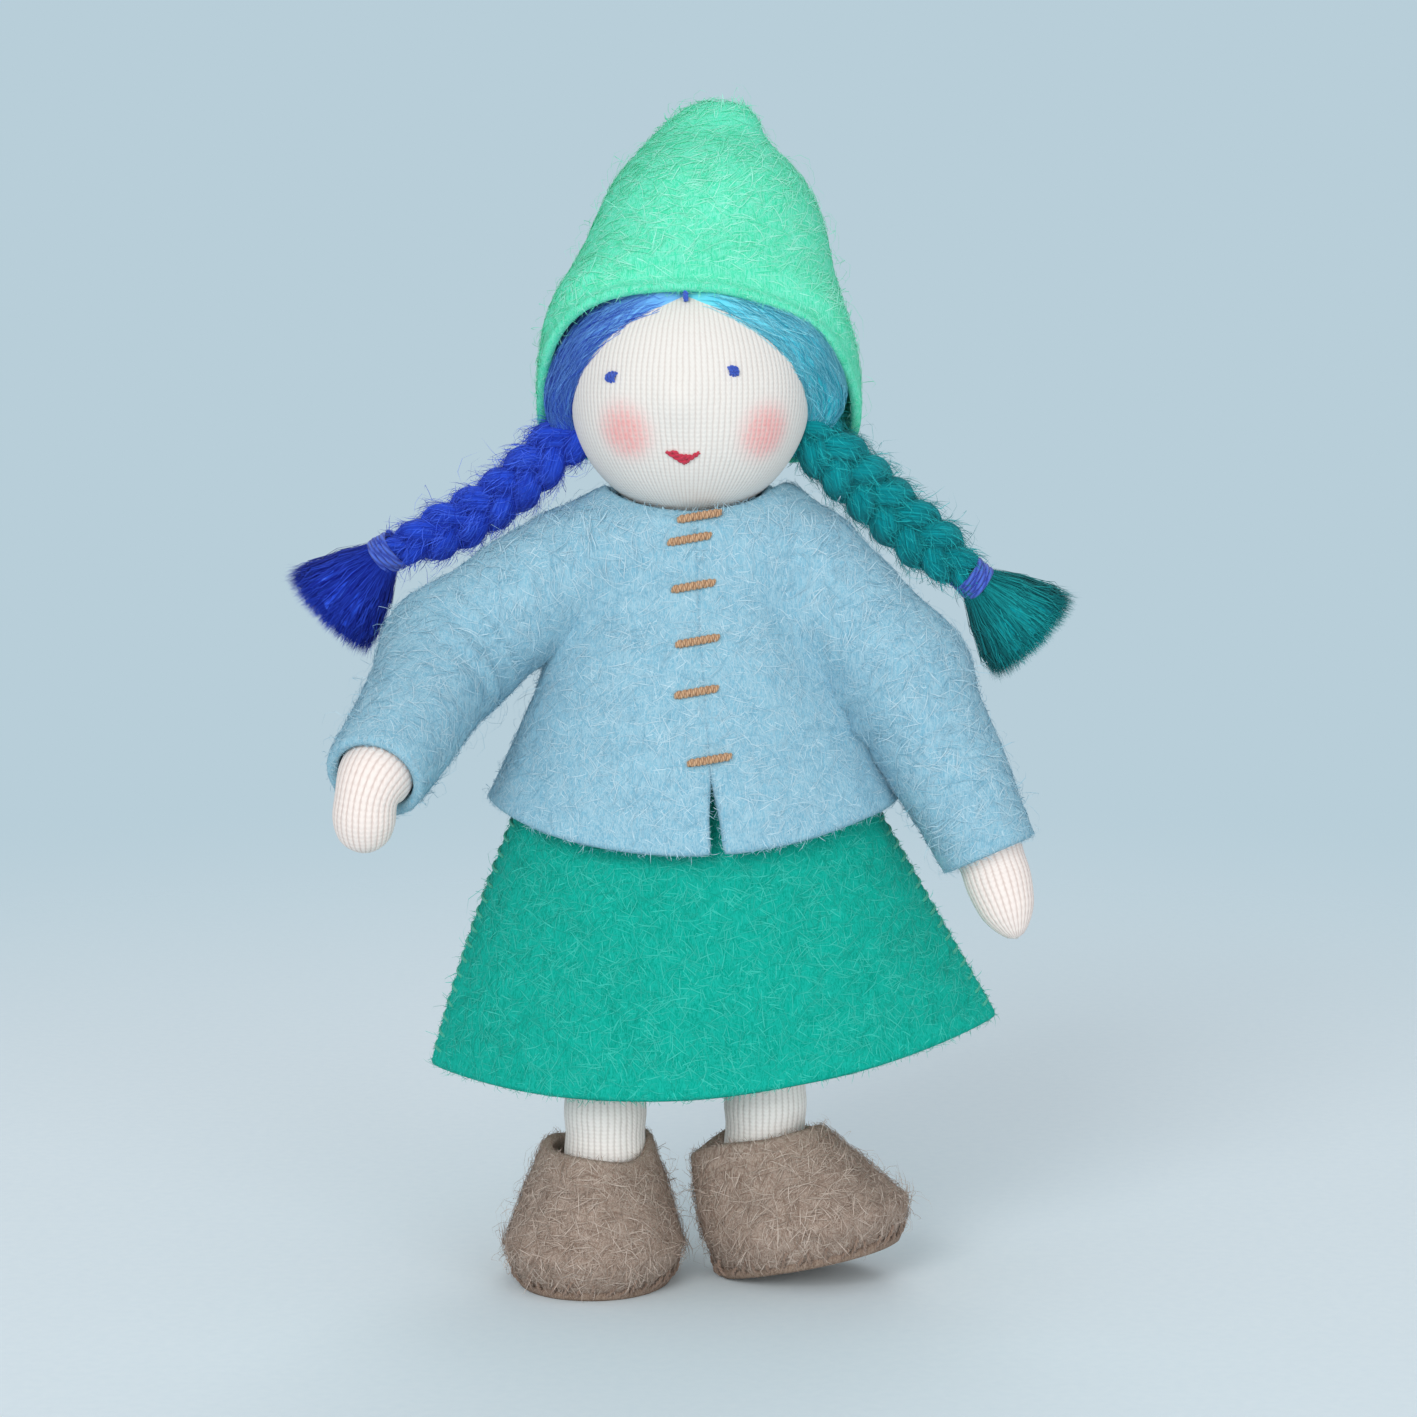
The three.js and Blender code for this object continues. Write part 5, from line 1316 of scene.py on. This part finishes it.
def hand(side):
    """A mitten of jersey: rings along a line from inside the cuff, through the wrist, to the finger end."""
    _, elbow, cuff = arm(side)
    wrist = BENDS[f"wrist_bend_{side}"]
    tip = centre_of(f"hand_{side}")
    way = unit(tip - wrist)
    fore = unit(cuff - elbow)
    end = wrist + way * HAND_REACH[side]
    s = np.linspace(0, 1, 60)
    line = curve(
        [0, 0.32, 0.62, 1], [cuff - fore * 1.5, mix(cuff, wrist, 0.6) + way * 0.4, wrist + way * 2.6, end]
    )
    thick = HAND_HALF[side]
    half = curve([0, 0.2, 0.4, 0.62, 0.8, 1], [3.6, 3.5, thick, thick, 0.87 * thick, 0.56 * thick])(s)
    flat = mix(1.0, 0.84, step(0.15, 0.5, s))[:, None]
    close = np.sqrt(np.clip(1 - np.clip((s - 0.8) / 0.2, 0, 1) ** 2.2, 0, 1)) * np.where(s == 0, 0, 1)
    shape = tube(line(s), half * close, 64, BACK, flat)
    shape = facing(shape, line(0.5))
    bend = (f"forearm_{side}", f"hand_{side}", cuff - fore * 0.5, wrist + way * 1.2)
    obj = piece(f"mitten_hand_{side}", shape, HAND_JERSEY, bend, (f"hand_{side}",))


def leg(side):
    """A stocking over stuffing: a straight round leg with slight swellings and a few ring creases."""
    hip, ankle = BENDS[f"hip_swing_{side}"], BENDS[f"ankle_tilt_{side}"]
    s = np.linspace(0, 1, 130)
    half = LEG_HALF + 0.12 * np.sin(s * 9) + 0.1 * np.sin(s * 47) * step(0.5, 1, s)
    path = mix(hip + [0, 0, -1.4], ankle + [0, 0, 1.0], s[:, None])
    shape = tube(path, half * rounded(len(s), 0.03), 72, BACK)
    shape = facing(shape, path.mean(0))
    obj = piece(
        f"stockinged_leg_{side}", shape, LEG_JERSEY, f"leg_{side}",
        (f"stocking_{side}", f"leg_stuffing_{side}"),
    )


TOE_TURN = {"right": (-5.0, 0.0), "left": (65.0, 14.0)}  # degrees out, and up
SHOE_WIDE = (18.4, 10.9)  # at the sole and at the opening
SHOE_LONG = (21.0, 13.6)
SHOE_LOFT = 3.0
SOLE_BELOW = 10  # how far the sole lies below the ankle
SOLE_THICK = 1.0
SOLE_EDGE = 0.9  # the height at which the upper starts
SOLE_STITCHES = 38
SHOE_ASIDE = {"right": -0.7, "left": -0.4}  # how far the shoe sits beside the ankle
SHOE_FORE = -3.6  # how far the middle of the sole lies before the ankle


def foot_frame(side):
    """The foot's turn: toe up about X, then toe out about Z."""
    out, up = (math.radians(angle) for angle in TOE_TURN[side])
    about_x = np.array([[1, 0, 0], [0, math.cos(up), math.sin(up)], [0, -math.sin(up), math.cos(up)]])
    about_z = np.array([[math.cos(out), -math.sin(out), 0], [math.sin(out), math.cos(out), 0], [0, 0, 1]])
    return about_z @ about_x


def shoe_ring(height, turn, inset=0.0):
    """A ring of the shoe at a height over the sole: wide and long below, drawn in to the opening above."""
    share = np.clip((height - 4.2) / 9.4, 0, 1) ** 0.9
    tuck = 2.3 * np.maximum(0, 1 - height / 4.6) ** 2 * mix(1.0, 0.4, step(0, 1, np.sin(turn)))
    wide = mix(*SHOE_WIDE, share) / 2 - tuck - inset
    long = mix(*SHOE_LONG, share) / 2 - tuck - inset
    fore = mix(SHOE_FORE, 0.0, share)
    square = np.abs(np.cos(turn)) ** 0.92 * np.sign(np.cos(turn))
    return xyz(wide * square, fore + long * np.sin(turn), height - SOLE_BELOW)


def shoe(side):
    """One felt shoe: the upper with its opening, the sole, and the overcast stitches round the sole."""
    ankle = BENDS[f"ankle_tilt_{side}"]
    turned = foot_frame(side)

    def placed(points):
        moved = points @ turned.T + ankle + [SHOE_ASIDE[side], 0, 0]
        moved[..., 2] = np.maximum(moved[..., 2], 0.03)
        return moved

    turn = full_turn(120)[None, :]
    height = np.linspace(SOLE_EDGE, 12.8, 46)[:, None]
    rings = shoe_ring(height, turn)
    rim = 0.45 * np.sin(2 * turn + 0.6) + 0.35 * np.sin(3 * turn)
    rings[..., 2] += rim * step(8, 13, height)
    rings = rings + unit(rings * LEVEL) * (0.35 * ripple(rings, 9, 20 + SIDES[side]))[..., None]
    shape = facing(grid(placed(rings), True), ankle + turned @ np.array([0, -3, -5.0]))
    felt_piece(
        f"shoe_top_{side}", shape, SHOE_CLOTH, f"foot_{side}", (f"shoe_upper_{side}",),
        loft=SHOE_LOFT,
    )
    share = np.concatenate([np.linspace(0, 1, 14), np.ones(5), np.linspace(1, 0, 14)])[:, None]
    level = np.concatenate([np.zeros(14), np.linspace(0, SOLE_THICK, 5), np.full(14, SOLE_THICK)])[:, None]
    edge = shoe_ring(np.full_like(share, SOLE_EDGE), turn, 0.1)
    middle = np.array([0, SHOE_FORE, 0])
    flat = mix(np.broadcast_to(middle, edge.shape), edge, share[..., None])
    flat = flat + 0.35 * unit(flat - middle) * np.sin(math.pi * level)[..., None]
    flat[..., 2] = level - SOLE_BELOW
    shape = facing(grid(placed(flat), True), ankle + turned @ np.array([0, SHOE_FORE, -9.5]))
    piece(f"shoe_bottom_{side}", shape, SOLE_FELT, f"foot_{side}", (f"shoe_sole_{side}",))
    shapes = []
    for number, angle in enumerate(np.linspace(0, TURN, SOLE_STITCHES, endpoint=False)):
        low = shoe_ring(np.array([0.35]), np.array([angle]), -0.3)[0]
        reach, slant = 1.7 + 0.5 * math.sin(2.4 * number), 0.08 + 0.07 * math.sin(1.7 * number)
        high = shoe_ring(np.array([reach]), np.array([angle + slant]), -0.05)[0]
        out = turned @ unit(low * LEVEL - middle)
        shapes.append(floss((placed(low[None])[0], placed(high[None])[0]), 0.12, 2.0, 0.25, out, 20))
    piece(f"shoe_stitches_{side}", together(shapes), RUST_THREAD, f"foot_{side}")


# Wool, threads and wire inside


TRUNK_WOOL_Z = (45.4, 74.0)
ARM_WOOL_START, ARM_WOOL_HALF = 2.3, 3.2
ARM_WOOL_END = {"upper_arm": 8.0, "forearm": 14.0}
NECK_THREAD = np.array([0.0, -1.0, 76.2])


def wool(name, path, half, flat, body, node, across=BACK):
    """Wrapped stuffing wool: an uneven roll along a path."""
    shape = tube(path, half * rounded(len(path), 0.15), 40, across, flat)
    points, faces, uv = merged(*shape)
    points = points + normals(points, faces) * (0.15 * ripple(points, 4, 30))[:, None]
    shape = facing((points, faces, uv), path.mean(0))
    obj = piece(name, shape, WOOL, body, (node,))


def inside():
    """The stuffing of trunk, arms and feet, the thread round the neck, and the armature wire."""
    s = np.linspace(0, 1, 60)
    trunk = xyz(0, 0, mix(*TRUNK_WOOL_Z, s))
    wide = curve([0, 0.2, 0.5, 0.8, 1], [8.2, 9.0, 8.6, 8.8, 7.6])(s)
    wool("torso_wool", trunk, wide, 0.62, "torso", "torso_stuffing")
    for side in SIDES:
        shoulder, elbow, cuff = arm(side)
        for part, a, b in (("upper_arm", shoulder, elbow), ("forearm", elbow, cuff)):
            along = np.linspace(ARM_WOOL_START, ARM_WOOL_END[part], 30)[:, None]
            path = a + unit(b - a) * along
            wool(f"{part}_wool_{side}", path, ARM_WOOL_HALF, 1.0, f"{part}_{side}", f"{part}_wrap_{side}")
        ankle = BENDS[f"ankle_tilt_{side}"]
        turned = foot_frame(side)
        path = xyz(0, mix(3.0, -12.0, s), -6.2) @ turned.T + ankle
        half = curve([0, 0.4, 1], [3.4, 4.4, 3.6])(s)
        wool(f"foot_wool_{side}", path, half, 0.55, f"foot_{side}", f"foot_stuffing_{side}", UP)
    band = wound(NECK_THREAD, UP, 4.25, 2, 0.3, 1.0, BACK)
    piece("neck_winding", band, PALE_THREAD, "head", ("neck_thread",))
    for name, node in frame["nodes"].items():
        if "wire" in name:
            node.data.materials.clear()
            node.data.materials.append(STEEL)


# Studio


def studio():
    """A pale floor that runs to the horizon, three soft lamps, and the camera."""
    reach = 4.0
    mesh = bpy.data.meshes.new("floor")
    corners = [(-reach, -reach, 0), (reach, -reach, 0), (reach, reach, 0), (-reach, reach, 0)]
    mesh.from_pydata(corners, [], [(0, 1, 2, 3)])
    floor = bpy.data.objects.new("floor", mesh)
    bpy.context.scene.collection.objects.link(floor)
    paper = Finish("floor_paper", 0.95, 0.0, 0.1)
    grain = paper.noise(paper.place(), 900, 3)
    paper.set("Base Color", paper.blend(grain, ink(222, 234, 240), ink(230, 240, 244)))
    paper.set("Alpha", 1 - paper.distance(paper.place(), (0.0, 0.0, 0.0)).rise(0.07, 0.34))
    mesh.materials.append(paper.material)

    for name, place, size, power in (
        ("key", (-0.35, -0.95, 0.5), 0.5, 6.0),
        ("fill", (0.5, -0.95, 0.22), 0.6, 3.6),
        ("back", (0.1, 0.7, 0.7), 0.5, 1.6),
    ):
        lamp = bpy.data.lights.new(name, "AREA")
        lamp.size = size
        lamp.energy = power
        holder = bpy.data.objects.new(name, lamp)
        holder.location = place
        aim = np.array([0, 0, 0.06]) - np.array(place)
        flat = math.hypot(aim[0], aim[1])
        holder.rotation_euler = (math.atan2(flat, -aim[2]), 0, math.atan2(aim[1], aim[0]) - TURN / 4)
        bpy.context.scene.collection.objects.link(holder)

    world = bpy.data.worlds.new("studio")
    world.use_nodes = True
    nodes, links = world.node_tree.nodes, world.node_tree.links
    nodes.clear()
    soft = nodes.new("ShaderNodeBackground")
    soft.inputs["Color"].default_value = ink(236, 242, 248)
    soft.inputs["Strength"].default_value = 0.57
    pale = nodes.new("ShaderNodeBackground")
    pale.inputs["Color"].default_value = ink(184, 206, 217)
    pale.inputs["Strength"].default_value = 1.0
    seen = nodes.new("ShaderNodeLightPath")
    either = nodes.new("ShaderNodeMixShader")
    links.new(seen.outputs["Is Camera Ray"], either.inputs[0])
    links.new(soft.outputs[0], either.inputs[1])
    links.new(pale.outputs[0], either.inputs[2])
    links.new(either.outputs[0], nodes.new("ShaderNodeOutputWorld").inputs["Surface"])
    scene = bpy.context.scene
    scene.world = world
    scene.view_settings.view_transform = "Standard"

    lens = bpy.data.cameras.new("camera")
    lens.sensor_width = 36.0
    lens.lens = 36.0 * CAMERA_BACK / PICTURE_WIDTH
    lens.clip_start = 0.01
    camera = bpy.data.objects.new("camera", lens)
    start, _ = sight(PICTURE_DOTS / 2, PICTURE_DOTS / 2)
    camera.location = tuple((start + MIDDLE) * MM)
    camera.rotation_euler = (TURN / 4 - CAMERA_RISE, 0, 0)
    scene.collection.objects.link(camera)
    scene.camera = camera


head()
face()
for side in SIDES:
    hair(side)
    plait(side)
    hand(side)
    leg(side)
    shoe(side)
parting()
hat()
jacket()
skirt()
inside()
studio()
